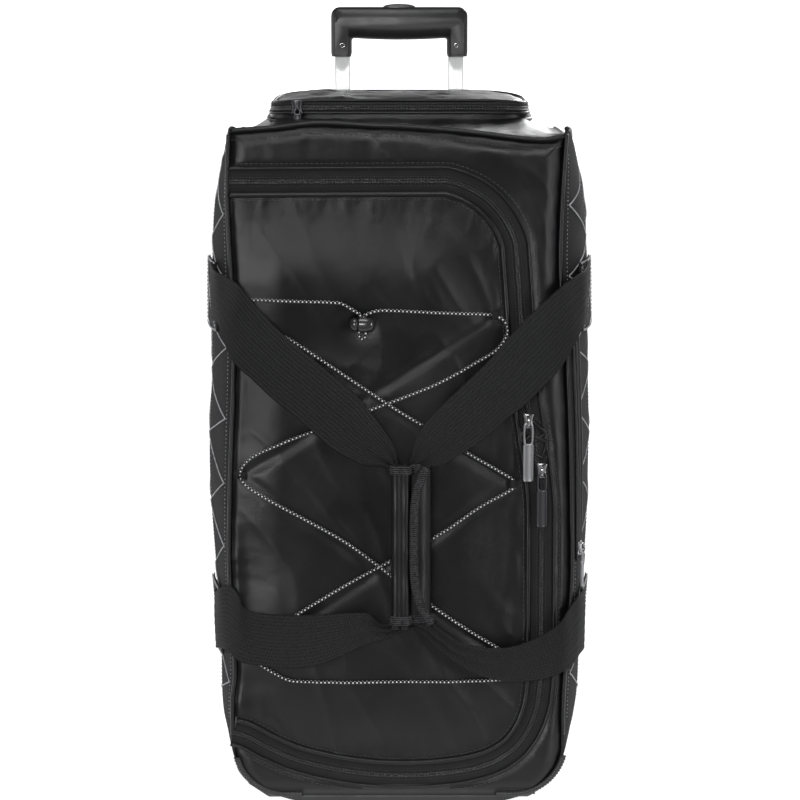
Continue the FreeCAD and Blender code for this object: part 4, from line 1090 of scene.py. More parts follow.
def web(name, high_edge, low_edge, body=None):
    """A webbing strap lofted between its two edges, both running from left to right."""
    high = evenly(smooth(high_edge, 10), 3 * MM)
    low = evenly(smooth(low_edge, 10), 3 * MM)
    count = max(len(high), len(low))
    high, low = [np.column_stack([np.interp(np.linspace(0, 1, count), np.linspace(0, 1, len(e)), e[:, k])
                                  for k in range(3)]) for e in (high, low)]
    v = np.linspace(0, 1, 29)[None, :, None]
    points = low[:, None, :] * (1 - v) + high[:, None, :] * v
    middle = points[:, 14]
    along = np.gradient(middle, axis=0)
    facing = np.cross(along, high - low)
    facing /= -np.linalg.norm(facing, axis=1)[:, None]
    outward = np.column_stack([middle[:, 0] * 4, middle[:, 1] * 6, middle[:, 0] * 0])
    facing *= np.where((facing * outward).sum(1) > 0, 1, -1)[:, None]
    wide = np.linalg.norm(high - low, axis=1)[:, None]
    gather = np.clip(1 - wide / 0.045, 0, 1)
    crown = 0.6 * MM * np.sin(math.pi * v[..., 0]) + 0.13 * MM * np.cos(v[..., 0] * 2 * math.pi * 7)
    crown = crown + gather * 1.6 * MM * np.sin(v[..., 0] * math.pi * 5)
    crown = crown + 1.3 * MM * rough(points * (1, 1, 1), 0.055, len(name), 2)
    points = points + facing[:, None, :] * crown[..., None]
    run = np.concatenate([[0], np.cumsum(np.linalg.norm(np.diff(middle, axis=0), axis=1))])
    uvs = np.stack(np.broadcast_arrays(run[:, None], v[..., 0] * WEB), -1)
    piece = grid(name, points, WEBBING, body, flip=True, thick=1.9 * MM, uvs=uvs)
    return piece


def front_edge_of(spots, y):
    """An edge lying at one depth across the front, from (x, z) in millimetres."""
    return [(x * MM, y, z * MM) for x, z in spots]


def round_side(side, high):
    """The part of an edge that goes round the bag's side to its sewn end, from back to front."""
    x = (0.1830, 0.1832, 0.1815, 0.1760)
    y = (-0.086, -0.098, -0.114, -0.130)
    return [(side * a, b, z) for a, b, z in zip(x, y, high)]


def handles():
    """Upper and lower branches of both loops, each running round from the bag's side to the carried part, and
    the folded webbing under the wrap.
    """
    plane = STRAP_Y + 1.5 * MM
    rows = {
        "left_upper": (
            round_side(-1, (0.536, 0.535, 0.533, 0.530)) + [(-0.167, -0.139, 0.527)] + front_edge_of(
                [(-155, 520), (-143, 506), (-121, 481), (-100, 462), (-77, 443), (-54, 423), (-38, 409),
                 (-28, 396), (-18, 383), (-10, 371), (-4, 358), (-1, 340)], plane),
            round_side(-1, (0.480, 0.481, 0.482, 0.480)) + [(-0.170, -0.141, 0.466)] + front_edge_of(
                [(-160, 446), (-142, 429), (-121, 409), (-100, 392), (-85, 378), (-69, 364), (-54, 354),
                 (-39, 347), (-26, 344), (-13, 343), (-8, 336)], plane)),
        "right_upper": (
            front_edge_of([(5, 338), (9, 348), (12, 359), (15, 370), (21, 382), (29, 392), (46, 409),
                           (67, 429), (84, 446), (103, 468), (122, 489), (141, 507), (155, 519)], plane)
            + [(0.167, -0.139, 0.526)] + round_side(1, (0.536, 0.535, 0.533, 0.530))[::-1],
            front_edge_of([(14, 336), (20, 343), (31, 343), (41, 345), (52, 352), (66, 360), (85, 374),
                           (102, 390), (117, 401), (135, 419), (152, 437)], plane)
            + [(0.166, -0.142, 0.458)] + round_side(1, (0.480, 0.481, 0.481, 0.476))[::-1]),
        "left_lower": (
            round_side(-1, (0.208, 0.208, 0.211, 0.219)) + [(-0.166, -0.140, 0.223)] + front_edge_of(
                [(-157, 215), (-152, 204), (-143, 199), (-115, 196), (-83, 196), (-50, 198), (-32, 198),
                 (-24, 192), (-17, 187), (-9, 188), (-2, 194)], plane),
            round_side(-1, (0.152, 0.152, 0.154, 0.158)) + [(-0.168, -0.142, 0.157)] + front_edge_of(
                [(-155, 149), (-132, 145), (-106, 143), (-81, 146), (-59, 154), (-39, 164), (-22, 170),
                 (-6, 176), (6, 183)], plane)),
        "right_lower": (
            front_edge_of([(4, 188), (14, 194), (27, 193), (35, 186), (49, 175), (64, 168), (85, 163),
                           (109, 164), (134, 173), (151, 184), (161, 194)], plane)
            + [(0.169, -0.139, 0.204)] + round_side(1, (0.208, 0.209, 0.211, 0.211))[::-1],
            front_edge_of([(6, 184), (14, 182), (22, 176), (31, 167), (44, 156), (59, 145), (78, 135),
                           (98, 130), (122, 129), (146, 133), (160, 139)], plane)
            + [(0.171, -0.139, 0.146)] + round_side(1, (0.152, 0.152, 0.153, 0.151))[::-1]),
    }
    for name, (high, low) in rows.items():
        side, upper = -1 if "left" in name else 1, "upper" in name
        piece = web(name + "_webbing_cloth", high, low)
        if upper:
            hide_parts(name.split("_")[0] + "_webbing")
        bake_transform(piece)
    for side, name in SIDES:
        fold = [(side * 0.0045, STRAP_Y, z) for z in np.linspace(wrap_low.z - 0.001, wrap_high.z + 0.003, 12)]
        folded = sweep(name + "_folded_webbing", fold, (0, -1, 0), ring_of(4.2 * MM, 2.6 * MM, 14, 0.6),
                       WEBBING, "carry_handles")


def patches():
    """The sewn patches where the webbing meets the side panels, with a pale border and cross."""
    first = None
    for side, name in SIDES:
        for centre, label in ((0.502, "upper"), (0.178, "lower")):
            z = np.linspace(centre - 0.034, centre + 0.034, 30)[:, None]
            s = np.linspace(0.11, 0.34, 26)[None, :]
            edge = np.minimum(np.minimum((z - z[0]) / 0.004, (z[-1] - z) / 0.004),
                              np.minimum((s - s[0, 0]) / 0.015, (s[0, -1] - s) / 0.015))
            points = side_point(z + s * 0, s + z * 0, side, 3.2 * MM)
            points[..., 0] += side * 0.9 * MM * np.clip(edge, 0, 1)
            piece = grid("%s_%s_patch" % (name, label), points, WEBBING, flip=side < 0, thick=1.2 * MM,
                         uvs=np.stack([s * 0.28 + z * 0, z + s * 0], -1))
            if first is None:
                first = piece
            z0, z1, s0, s1 = z[0, 0] + 0.001, z[-1, 0] - 0.001, 0.12, 0.33
            t = np.linspace(0, 1, 20)
            lines = []
            for (za, sa), (zb, sb), solid in (
                    ((z1, s0), (z1, s1), True), ((z0, s0), (z0, s1), True), ((z0, s1), (z1, s1), False),
                    ((z0, s0), (z1, s0), False), ((z0, s0), (z1, s1), False), ((z1, s0), (z0, s1), False)):
                row = side_point(za + (zb - za) * t, sa + (sb - sa) * t, side, 4.4 * MM)
                if solid:
                    lines.append(sweep("edge", row, (side, -0.2, 0), ring_of(1.0 * MM, 0.7 * MM, 8), THREAD))
                else:
                    lines.append(dashes("stitch", row, (side, -0.2, 0), THREAD, long=3.6 * MM, gap=1.0 * MM,
                                        radius=0.5 * MM))
            joined("%s_%s_patch_stitch" % (name, label), lines)
    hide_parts("anchor_patches")


WRAP_FOOT, WRAP_HEAD = wrap_low.z + 7 * MM, wrap_high.z + 5 * MM


def lip_x(z):
    """Where the padded wrap's bound lip runs: close to the tube, bowing away at both ends."""
    middle = (WRAP_FOOT + WRAP_HEAD) / 2 + 3 * MM
    away = np.abs(np.asarray(z, float) - middle) / 0.074
    return (14.0 + 13.0 * np.clip(away, 0, 1.1) ** 4) * MM


def wrap_rise(x, z):
    """How far the front of the closed wrap stands off the straps' plane."""
    def dome(centre, half, high):
        return high * np.sqrt(np.clip(1 - ((x - centre) / half) ** 2, 0, 1))
    puff = 1 + 0.04 * np.sin(z * 150) + 0.03 * np.sin(z * 67 + 1)
    lip = lip_x(z)
    tube = 11.0 * MM * (1 - np.clip(np.abs((x - 0.8 * MM) / (9.9 * MM)), 0, 1) ** 4.5) ** 0.5 * puff
    tube = tube - 0.9 * MM * np.exp(-((x - 1.5 * MM) / (3.5 * MM)) ** 2)
    bound = dome(lip, 3.6 * MM, 11.8 * MM)
    back = dome(18.5 * MM, 11.9 * MM, 9.5 * MM) * puff * (x > lip)
    return np.maximum(np.maximum(tube, bound), back)


def wrap_front():
    """The front half, folded shut: a tube, a bound lip beside it, and the panel that goes round behind."""
    z = np.linspace(WRAP_FOOT, WRAP_HEAD, 90)[:, None]
    reach = np.maximum(30 * MM, lip_x(z) + 3.5 * MM)
    u = np.linspace(0, 1, 90)[None, :]
    x = -8.4 * MM + (reach + 8.4 * MM) * u
    rise = wrap_rise(x, z + x * 0)
    points = np.stack([x, STRAP_Y - 0.2 * MM - rise, z + x * 0], -1)
    shell = grid("wrap_front_cloth", points, SATIN, "wrap_front", thick=1.0 * MM)
    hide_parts("wrap_flap")
    lining = grid("wrap_front_lining", np.stack([x, x * 0 + STRAP_Y - 0.3 * MM, z + x * 0], -1), TAPE,
                  "wrap_front", flip=True)
    z = np.linspace(WRAP_FOOT + 1 * MM, WRAP_HEAD - 1 * MM, 80)
    lip = np.column_stack([lip_x(z) - 0.6 * MM, STRAP_Y - 9.4 * MM + z * 0, z])
    tape = sweep("wrap_front_lip", lip, (-0.35, -1, 0), ring_of(4.3 * MM, 3.6 * MM, 16, 0.8), TRIM,
                 "wrap_front")
    for shift in (-1.4, 1.8):
        row = lip + ((shift - 1.0) * MM, -3.3 * MM, 0)
        piece = dashes("wrap_front_lip_stitch_%d" % (shift > 0), row, (-0.2, -1, 0), DARK_THREAD,
                       "wrap_front", 2.2 * MM, 1.4 * MM, 0.4 * MM)
    for height, label in ((WRAP_FOOT + 3 * MM, "foot"), (WRAP_HEAD - 3 * MM, "head")):
        across = np.linspace(-9.0 * MM, float(lip_x(height)) - 1 * MM, 26)
        rise = wrap_rise(np.clip(across, -8.2 * MM, 1), height)
        band = np.column_stack([across, STRAP_Y - rise - 0.6 * MM, height + across * 0])
        middle = np.array((6 * MM, STRAP_Y + 4 * MM, height))
        roll = sweep("wrap_front_%s_binding" % label, band, band - middle,
                     ring_of(4.6 * MM, 1.9 * MM, 14, 0.7), TRIM, "wrap_front")


def wrap_rear():
    """The rear half: it stays on the straps, and its edge meets the front half's."""
    z = np.linspace(WRAP_FOOT, WRAP_HEAD, 80)[:, None]
    u = np.linspace(0, 1, 50)[None, :]
    x = -8.8 * MM + 37 * MM * u
    rise = 10.5 * MM * np.sqrt(np.clip(1 - ((x - 1.0 * MM) / (9.9 * MM)) ** 2, 0, 1))
    rise = np.maximum(rise, 3.0 * MM * np.sqrt(np.clip(1 - ((x - 14 * MM) / (14.4 * MM)) ** 2, 0, 1)))
    points = np.stack([x + z * 0, STRAP_Y + 0.2 * MM + rise + z * 0, z + x * 0], -1)
    shell = grid("wrap_rear_cloth", points, SATIN, "carry_handles", flip=True, thick=1.0 * MM)
    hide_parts("grip_wrap")
    flat = np.stack([x + z * 0, x * 0 + z * 0 + STRAP_Y + 0.3 * MM, z + x * 0], -1)
    lining = grid("wrap_rear_lining", flat, TAPE, "carry_handles")


handles()
patches()
wrap_front()
wrap_rear()


# ------------------------------------------------------------------ the elastic cord, its tabs and its lock
def bungee():
    """One closed loop, from the lock to and fro across the flap and back."""
    x, z = LOCK[0] + 3.5 * MM, LOCK[2]
    route = [(x - 1.2 * MM, z + 2 * MM, 1.5), (x - 2.0 * MM, z + 9 * MM, 2.0), (x - 9 * MM, z + 14 * MM, 1.2),
             (x - 20 * MM, z + 20.5 * MM, 0.3), (x - 30 * MM, z + 21.5 * MM, 0), (-0.105, z + 22.5 * MM, 0),
             (-0.140, 0.504, 0), (-0.151, 0.500, 0), (-0.153, 0.492, 0), (-0.147, 0.485, 0),
             (-0.122, 0.4735, 0), (-0.100, 0.462, 0), (-0.013, 0.404, 1.2), (0.024, 0.381, 0),
             (0.066, 0.3545, 0), (0.100, 0.334, 0), (0.109, 0.328, 0), (0.111, 0.323, 0), (0.107, 0.317, 0),
             (0.076, 0.300, 0), (0.032, 0.2705, 0), (-0.056, 0.222, 0), (-0.120, 0.183, 0),
             (-0.148, 0.165, 0), (-0.151, 0.158, 0), (-0.147, 0.150, 0), (-0.138, 0.1435, 0),
             (-0.124, 0.135, 0), (-0.110, 0.1285, 0), (-0.098, 0.127, 0), (-0.05, 0.1268, 0),
             (0.03, 0.1270, 0), (0.094, 0.1272, 0), (0.106, 0.1285, 0), (0.113, 0.134, 0), (0.114, 0.142, 0),
             (0.106, 0.1525, 0), (0.070, 0.176, 0), (0.031, 0.203, 0), (-0.012, 0.236, 1.2),
             (-0.055, 0.268, 0), (-0.112, 0.300, 0), (-0.140, 0.316, 0), (-0.151, 0.324, 0),
             (-0.155, 0.333, 0), (-0.151, 0.343, 0), (-0.139, 0.353, 0), (-0.112, 0.3655, 0),
             (-0.084, 0.3765, 0), (-0.030, 0.397, 0), (0.0, 0.4085, 0), (0.038, 0.424, 0), (0.076, 0.4445, 0),
             (0.092, 0.4545, 0), (0.100, 0.4640, 0), (0.1035, 0.4735, 0), (0.100, 0.4835, 0),
             (0.091, 0.4885, 0), (0.078, 0.4900, 0), (0.03, 0.4925, 0), (x + 28 * MM, 0.4945, 0),
             (x + 15 * MM, z + 13.5 * MM, 0.6), (x + 6 * MM, z + 11 * MM, 1.8),
             (x + 1.6 * MM, z + 8 * MM, 2.0), (x + 1.2 * MM, z + 2 * MM, 1.5)]
    flat = np.array([(a, b) for a, b, _ in route])
    lift = np.array([c for _, _, c in route]) * MM
    curve = evenly(smooth(np.column_stack([flat, lift]), 10), 1.6 * MM)
    path = on_front(curve[:, :2], 0)
    path[:, 1] -= 1.3 * MM + curve[:, 2]
    piece = sweep("bungee_cord_braid", path, OUT, ring_of(1.55 * MM, 1.55 * MM, 12), CORD)
    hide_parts("bungee_cord")
    tail = smooth([(x - 2.2 * MM, -4 * MM, z - 4 * MM), (x - 3.6 * MM, -4 * MM, z - 9 * MM),
                   (x - 2.6 * MM, -3.6 * MM, z - 12.5 * MM), (x - 0.2 * MM, -3.2 * MM, z - 14.5 * MM),
                   (x + 2.4 * MM, -3.6 * MM, z - 12.5 * MM), (x + 3.2 * MM, -4 * MM, z - 9 * MM),
                   (x + 2.2 * MM, -4 * MM, z - 4 * MM)], 10)
    tail[:, 1] += front_y(LOCK[0], LOCK[2])
    loop = sweep("bungee_cord_tail", evenly(tail, 1.2 * MM), OUT, ring_of(1.5 * MM, 1.5 * MM, 12), CORD)


def cord_tabs():
    """A folded loop of narrow tape at each turn of the cord."""
    first = None
    for name, (x, z) in CORD_SPOTS.items():
        way = -1 if "left" in name else 1
        base = float(front_y(x, z))
        spots = [(x + way * 9 * MM, base - 0.2 * MM, z), (x + way * 5 * MM, base - 0.8 * MM, z),
                 (x + way * 1.5 * MM, base - 2.8 * MM, z), (x - way * 2.0 * MM, base - 3.6 * MM, z),
                 (x - way * 3.4 * MM, base - 2.0 * MM, z), (x - way * 2.0 * MM, base - 0.5 * MM, z),
                 (x + way * 3 * MM, base - 0.2 * MM, z)]
        path = evenly(smooth(spots, 8), 0.8 * MM)
        loop = sweep(name + "_cord_tab", path, (0, 0, 1), ring_of(0.5 * MM, 3.8 * MM, 12, 0.5), TAPE)
        rises = np.linspace(-3.4, 3.4, 9) * MM
        row = np.array([(x + way * 6.2 * MM, base - 1.5 * MM, z + rise) for rise in rises])
        stitch = dashes(name + "_tab_stitch", row, OUT, DARK_THREAD, long=1.6 * MM, gap=0.8 * MM,
                        radius=0.3 * MM)
        first = first or loop
    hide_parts("cord_tabs")


def cord_lock():
    """The toggle: a waisted barrel, and a domed plunger that sinks into it."""
    low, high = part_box("cord_lock_body")
    middle = LOCK - (0, 1.2 * MM, 0)
    length = high.x - low.x
    profile = [(-0.54 * length, 0.0001)]
    profile += [(length * (-0.24 - 0.30 * math.cos(a)), 6.6 * MM * math.sin(a) ** 0.8)
                for a in np.linspace(0.12, 2.35, 20)]
    profile += [(length / 2 - 2.5 * MM, 4.2 * MM), (length / 2 - 2 * MM, 0.0001)]
    body = lathe("cord_lock_barrel", profile, middle, "x", LOCK_PLASTIC, "body", 40)
    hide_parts("cord_lock_body")
    low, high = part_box("cord_lock_plunger")
    centre = midpoint(low, high) - (0, 1.2 * MM, 0)
    rim = middle[0] - 0.02 * length - centre[0]
    tip = high.x - centre[0]
    first = 1.05
    span = (tip - rim) / (math.cos(first) + 1)
    profile = [(rim + 1.5 * MM, 6.8 * MM), (rim, 6.85 * MM)]
    profile += [(rim + span * (math.cos(first) - math.cos(a)), 7.7 * MM * math.sin(a) ** 0.62)
                for a in np.linspace(first, math.pi - 0.1, 22)]
    profile += [(tip, 0.0001), (tip - 4.5 * MM, 0.0001), (tip - 4.5 * MM, 5.2 * MM)]
    knob = lathe("cord_lock_knob", profile, centre, "x", LOCK_PLASTIC, "lock_plunger", 40)
    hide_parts("cord_lock_plunger")


bungee()
cord_tabs()
cord_lock()


# ------------------------------------------------------------------ the base, the guards and the wheels
def corner_guards():
    """Ribbed guards: a bumper round each lower front corner, and a low skirt along the side behind it."""
    first = None
    for side, name in SIDES:
        size = LEFT_ROUND if side < 0 else RIGHT_ROUND
        angle = np.linspace(0.25, 0.5 * math.pi, 60)
        corner = np.array((SEAM - size, BASE + size))
        bend = np.column_stack([corner[0] + size * np.cos(angle), corner[1] - size * np.sin(angle)])
        run = np.vstack([bend, [(corner[0] - 0.006, BASE), (corner[0] - 0.016, BASE)]])
        run = evenly(run, 0.5 * MM)
        path = np.column_stack([side * run[:, 0], run[:, 0] * 0 + FRONT + 0.0015, run[:, 1] + 0.001])
        out = np.column_stack([side * (run[:, 0] - corner[0]), run[:, 0] * 0 - 0.02, run[:, 1] - corner[1]])
        wave = 0.5 + 0.5 * np.cos(np.arange(len(run)) * 0.5 * 2 * math.pi / 3.1)
        scale = np.column_stack([0.93 + 0.07 * wave, 0.78 + 0.22 * wave])
        bumper = sweep(name + "_corner_guard", path, out, ring_of(4.2 * MM, 3.2 * MM, 14, 0.7), BASE_PLASTIC,
                       scale=scale)
        first = first or bumper
        z = np.linspace(BASE - 0.002, 0.036, 40)[:, None]
        s = np.linspace(0.01, 0.24, 120)[None, :]
        points = side_point(z + s * 0, s + z * 0, side, 0.8 * MM)
        points[..., 0] += side * 0.0009 * (0.5 + 0.5 * np.cos(s * 0.28 * 2 * math.pi / 0.0045)) * (z < 0.034)
        skirt = grid(name + "_guard_skirt", points, BASE_PLASTIC, flip=side < 0, thick=1.2 * MM)
    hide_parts("corner_guards")


def base_tray():
    """The rounded foot of the bag: a dished shell under the panels."""
    rings = []
    s = np.linspace(0, 1, 60)
    for z, shrink in ((0.020, 1.0), (0.014, 0.998), (0.0095, 0.985), (BASE - 0.0015, 0.965),
                      (BASE - 0.002, 0.9), (BASE - 0.002, 0.5), (BASE - 0.002, 0.01)):
        right = side_point(np.full(60, max(z, 0.012)), s, 1, 0.4 * MM)
        left = side_point(np.full(60, max(z, 0.012)), s[::-1], -1, 0.4 * MM)
        ring = np.vstack([right, left])
        ring[:, 2] = z
        centre = np.array((0, (FRONT + BACK) / 2, z))
        rings.append(centre + (ring - centre) * (shrink, shrink, 1))
    piece = grid("base_tray_shell", np.array(rings), BASE_PLASTIC, wrap=True, thick=1.5 * MM)
    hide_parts("bottom_tray")


def base_welt():
    """The thick edge under the front of the base, between the two guards."""
    x = np.linspace(-0.134, 0.134, 90)
    near = step_up(0.134, 0.092, np.abs(x))
    path = np.column_stack([x, np.full(90, FRONT + 3.5 * MM), BASE + 1.5 * MM - 5.2 * MM * near])
    scale = 0.35 + 0.65 * np.column_stack([near, near])
    welt = sweep("base_front_welt", path, OUT, ring_of(4.2 * MM, 2.4 * MM, 14, 0.7), BASE_PLASTIC,
                 scale=scale)


def feet():
    """Two round studs under the front of the base."""
    low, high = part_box("feet")
    radius = (high.y - low.y) / 2 - 3 * MM
    tall = high.z - low.z
    profile = [(0.0, 0.0001), (0.0, radius - 2.5 * MM), (0.7 * MM, radius - 0.8 * MM), (2.2 * MM, radius),
               (tall, radius + 1 * MM), (tall, 0.0001)]
    pieces = [lathe("stud", profile, (side * (high.x - 20 * MM), (low.y + high.y) / 2 + 2 * MM, low.z), "z",
                    BASE_PLASTIC, "body", 36) for side in (-1, 1)]
    studs = joined("feet_studs", pieces)
    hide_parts("feet")


def wheels():
    """Rounded tyres, and hubs with five spokes."""
    for side, name in SIDES:
        low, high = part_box(name + "_tyre")
        middle = midpoint(low, high)
        half, radius = (high.x - low.x) / 2, (high.z - low.z) / 2
        inner = 24 * MM
        profile = [(-half + 1 * MM, inner), (-half, inner + 2 * MM)]
        profile += [(half * math.sin(a) * 0.98, radius - 4.5 * MM * (1 - math.cos(a) ** 0.9)) for a in
                    np.linspace(-1.35, 1.35, 21)]
        profile += [(half, inner + 2 * MM), (half - 1 * MM, inner)]
        tyre = lathe(name + "_tyre_tread", profile, middle, "x", RUBBER, "wheel_" + name, 72)
        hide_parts(name + "_tyre")
        pieces = []
        rim = [(-half + 0.5 * MM, inner), (-half + 0.5 * MM, inner - 2.6 * MM), (-3 * MM, inner - 3.4 * MM),
               (3 * MM, inner - 3.4 * MM), (half - 0.5 * MM, inner - 2.6 * MM), (half - 0.5 * MM, inner)]
        pieces.append(lathe("rim", rim, middle, "x", HUB_PLASTIC, "wheel_" + name, 72))
        boss = [(-half + 0.4 * MM, 11.05 * MM), (-half + 0.4 * MM, 13.4 * MM), (half - 0.4 * MM, 13.4 * MM),
                (half - 0.4 * MM, 11.05 * MM)]
        pieces.append(lathe("boss", boss, middle, "x", HUB_PLASTIC, "wheel_" + name, 48))
        for number in range(5):
            a = number * 2 * math.pi / 5
            radial = np.array((0, math.cos(a), math.sin(a)))
            path = [middle + radial * r for r in (12.5 * MM, 16 * MM, 19 * MM, 21.4 * MM)]
            pieces.append(sweep("spoke", path, (1, 0, 0), ring_of(2.4 * MM, half - 3 * MM, 14, 0.6),
                                HUB_PLASTIC, "wheel_" + name))
        hub = joined(name + "_hub_spokes", pieces)
        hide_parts(name + "_hub")


corner_guards()
base_tray()
base_welt()
feet()
wheels()


# ------------------------------------------------------------------ the telescopic handle
def rounded_ring(half_x, half_y, corner, steps=8):
    """A rectangle with round corners, each of a number of points."""
    out = []
    for cx, cy, start in ((1, 1, 0), (-1, 1, 0.5), (-1, -1, 1.0), (1, -1, 1.5)):
        for a in np.linspace(start * math.pi, (start + 0.5) * math.pi, steps):
            out.append((cx * (half_x - corner) + corner * math.cos(a),
                        cy * (half_y - corner) + corner * math.sin(a)))
    return np.array(out)


def extruded(node, name, body, material=ALUMINIUM):
    """A rectangular tube with rounded corners, in the place of a CAD tube."""
    low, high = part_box(node)
    across, out = (high.x - low.x) / 2, (high.y - low.y) / 2
    section = rounded_ring(across, out, 2.0 * MM, 6)
    middle = ((low.x + high.x) / 2, (low.y + high.y) / 2)
    path = [(middle[0], middle[1], z) for z in np.linspace(low.z, high.z, 6)]
    piece = sweep(name, path, (0, 1, 0), section, material, body)
    clean(piece)
    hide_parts(node)


def quarter(centre, radius, start, stop, steps=6):
    """Points on an arc from one angle to another, in degrees."""
    angles = np.radians(np.linspace(start, stop, steps))
    return [(centre[0] + radius * math.cos(a), centre[1] + radius * math.sin(a)) for a in angles]


def grip_outline(wide, top, foot, inner, under):
    """The grip's shape from the front: a bar with round shoulders and a leg at each end."""
    shoulder, throat, toe = 9 * MM, 2.6 * MM, 0.8 * MM
    half = quarter((wide - shoulder, top - shoulder), shoulder, 90, 0)
    half += [(wide, foot + 4 * MM), (wide - toe, foot), (inner + toe, foot), (inner, foot + 4 * MM)]
    half += quarter((inner - throat, under - throat), throat, 0, 90, 4)
    flat = inner - throat
    half += [(x, under - 1.6 * MM * (1 - (x / flat) ** 2)) for x in np.linspace(flat, 0, 7)[1:-1]]
    mirrored = [(-x, z) for x, z in reversed(half)]
    return np.array([(0, top)] + half + [(0, under - 1.6 * MM)] + mirrored)


def grip():
    """The hand grip: two crowned shells with round shoulders, and the button in its top."""
    low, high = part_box("grip_front_shell")
    split, wide, top, foot = high.y, high.x, high.z, low.z
    under, inner = foot + 19 * MM, wide - 21.6 * MM
    outer = grip_outline(wide, top, foot, inner, under)
    middle_x, middle_z = (wide + inner) / 2, (top + under) / 2

    def drawn_in(amount):
        """The outline drawn in towards the middle of the bar and of each leg."""
        ring = []
        for x, z in outer:
            leg = abs(x) > inner - 5 * MM
            across = math.copysign(middle_x, x) - x if leg else 0.0
            along = middle_z - z if z > under - 3 * MM else 0.0
            x += math.copysign(min(min(amount, 4.2 * MM), abs(across) * 0.96), across)
            z += math.copysign(min(amount, abs(along) * 0.96), along)
            ring.append((x, z + 0.2 * amount * (z < foot + 5 * MM)))
        return ring

    crown = ((0, 0), (5, 0), (7.2, 0.3), (9.0, 1.0), (10.7, 2.3), (12.3, 4.4), (13.6, 6.9), (14.6, 9.5),
             (15.0, 11.5))
    for node, way in (("grip_front_shell", -1), ("grip_rear_shell", 1)):
        verts = []
        for depth, amount in crown:
            verts += [(x, split + way * depth * MM, z) for x, z in drawn_in(amount * MM)]
        count = len(outer)
        faces = grid_faces(len(crown), count, wrap=True)
        faces.append([(len(crown) - 1) * count + k for k in range(count)])
        faces.append(list(range(count))[::-1])
        body = build(node + "_moulding", verts, faces, GRIP_PLASTIC, "handle")
        clean(body)
        soften(body, 0.7 * MM, 3, 42)
        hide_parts(node)
    low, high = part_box("release_button")
    middle = midpoint(low, high)
    half_x, half_y = 16.8 * MM, 5.8 * MM
    a = np.linspace(0, 2 * math.pi, 56, endpoint=False)
    c, s = np.cos(a), np.sin(a)
    rings = []
    for rise, size in ((-3, 1.0), (0.3, 1.0), (1.1, 0.96), (1.9, 0.86), (2.6, 0.68), (3.1, 0.42),
                       (3.35, 0.04)):
        rings.append(np.column_stack([np.sign(c) * np.abs(c) ** 0.6 * half_x * size,
                                      middle[1] + np.sign(s) * np.abs(s) ** 0.8 * half_y * size,
                                      np.full(56, top + rise * MM)]))
    knob = grid("release_button_cap", np.array(rings), BUTTON_PLASTIC, "button", wrap=True)
    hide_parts("release_button")


def screws():
    """Domed heads with a sunk centre for the grip's two screws."""
    low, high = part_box("grip_screws")
    pieces = []
    for side in (-1, 1):
        centre = (side * (high.x - 3.2 * MM), low.y - 0.4 * MM, (low.z + high.z) / 2)
        profile = [(0.9 * MM, 0.0001), (0.8 * MM, 1.25 * MM), (-0.25 * MM, 1.45 * MM), (-0.35 * MM, 2.2 * MM),
                   (0.1 * MM, 3.1 * MM), (1.4 * MM, 3.2 * MM), (1.4 * MM, 0.0001)]
        pieces.append(lathe("screw", profile, centre, "y", SLIDER_METAL, "handle", 28))
    piece = joined("grip_screw_heads", pieces)
    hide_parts("grip_screws")


def bezel():
    """The plate in the top end that the tubes come out of, with a collar round each."""
    low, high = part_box("handle_bezel")
    piece = solid_box((low.x, low.y, low.z - 1 * MM), (high.x, high.y, high.z - 1.5 * MM), 2.5 * MM,
                      BASE_PLASTIC, "handle_bezel_plate")
    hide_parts("handle_bezel")
    for side in (-1, 1):
        centre = side * (rail_low.x + rail_high.x) / 2
        ring = rounded_ring(11.2 * MM, 8.2 * MM, 3 * MM)
        path = np.column_stack([centre + ring[:, 0], (rail_low.y + rail_high.y) / 2 + ring[:, 1],
                                np.full(len(ring), high.z - 1 * MM)])
        collar = sweep("bezel_collar_" + ("left" if side < 0 else "right"), path, UP,
                       ring_of(2.0 * MM, 2.2 * MM, 12, 0.7), BASE_PLASTIC, closed=True)


for side_name in ("left", "right"):
    extruded("inner_tube_" + side_name, side_name + "_rail", "handle")
grip()
screws()
bezel()


def board():
    """The stiff board inside the back, with its top corners cut away under the sloping shoulders."""
    low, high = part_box("back_board")
    bay_low, bay_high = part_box("wheel_housing_right")
    half, cut, fall = high.x - 4 * MM, 42 * MM, 66 * MM
    right = [(bay_low.x - 1 * MM, low.z), (bay_low.x - 1 * MM, bay_high.z + 1 * MM),
             (half, bay_high.z + 1 * MM)]
    right += [(half, high.z - fall)]
    right += [(half - cut * math.sin(a), high.z - fall * math.cos(a)) for a in np.linspace(0.2, math.pi / 2,
                                                                                           8)]
    outline = right + [(-x, z) for x, z in reversed(right)]
    verts = [(x, y, z) for y in (high.y - 3 * MM, high.y) for x, z in outline]
    count = len(outline)
    faces = [list(range(count)), list(range(count, 2 * count))[::-1]]
    faces += [(k, (k + 1) % count, (k + 1) % count + count, k + count) for k in range(count)]
    piece = build("back_board_sheet", verts, faces, BOARD, smooth_shade=False)
    clean(piece)
    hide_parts("back_board")


board()

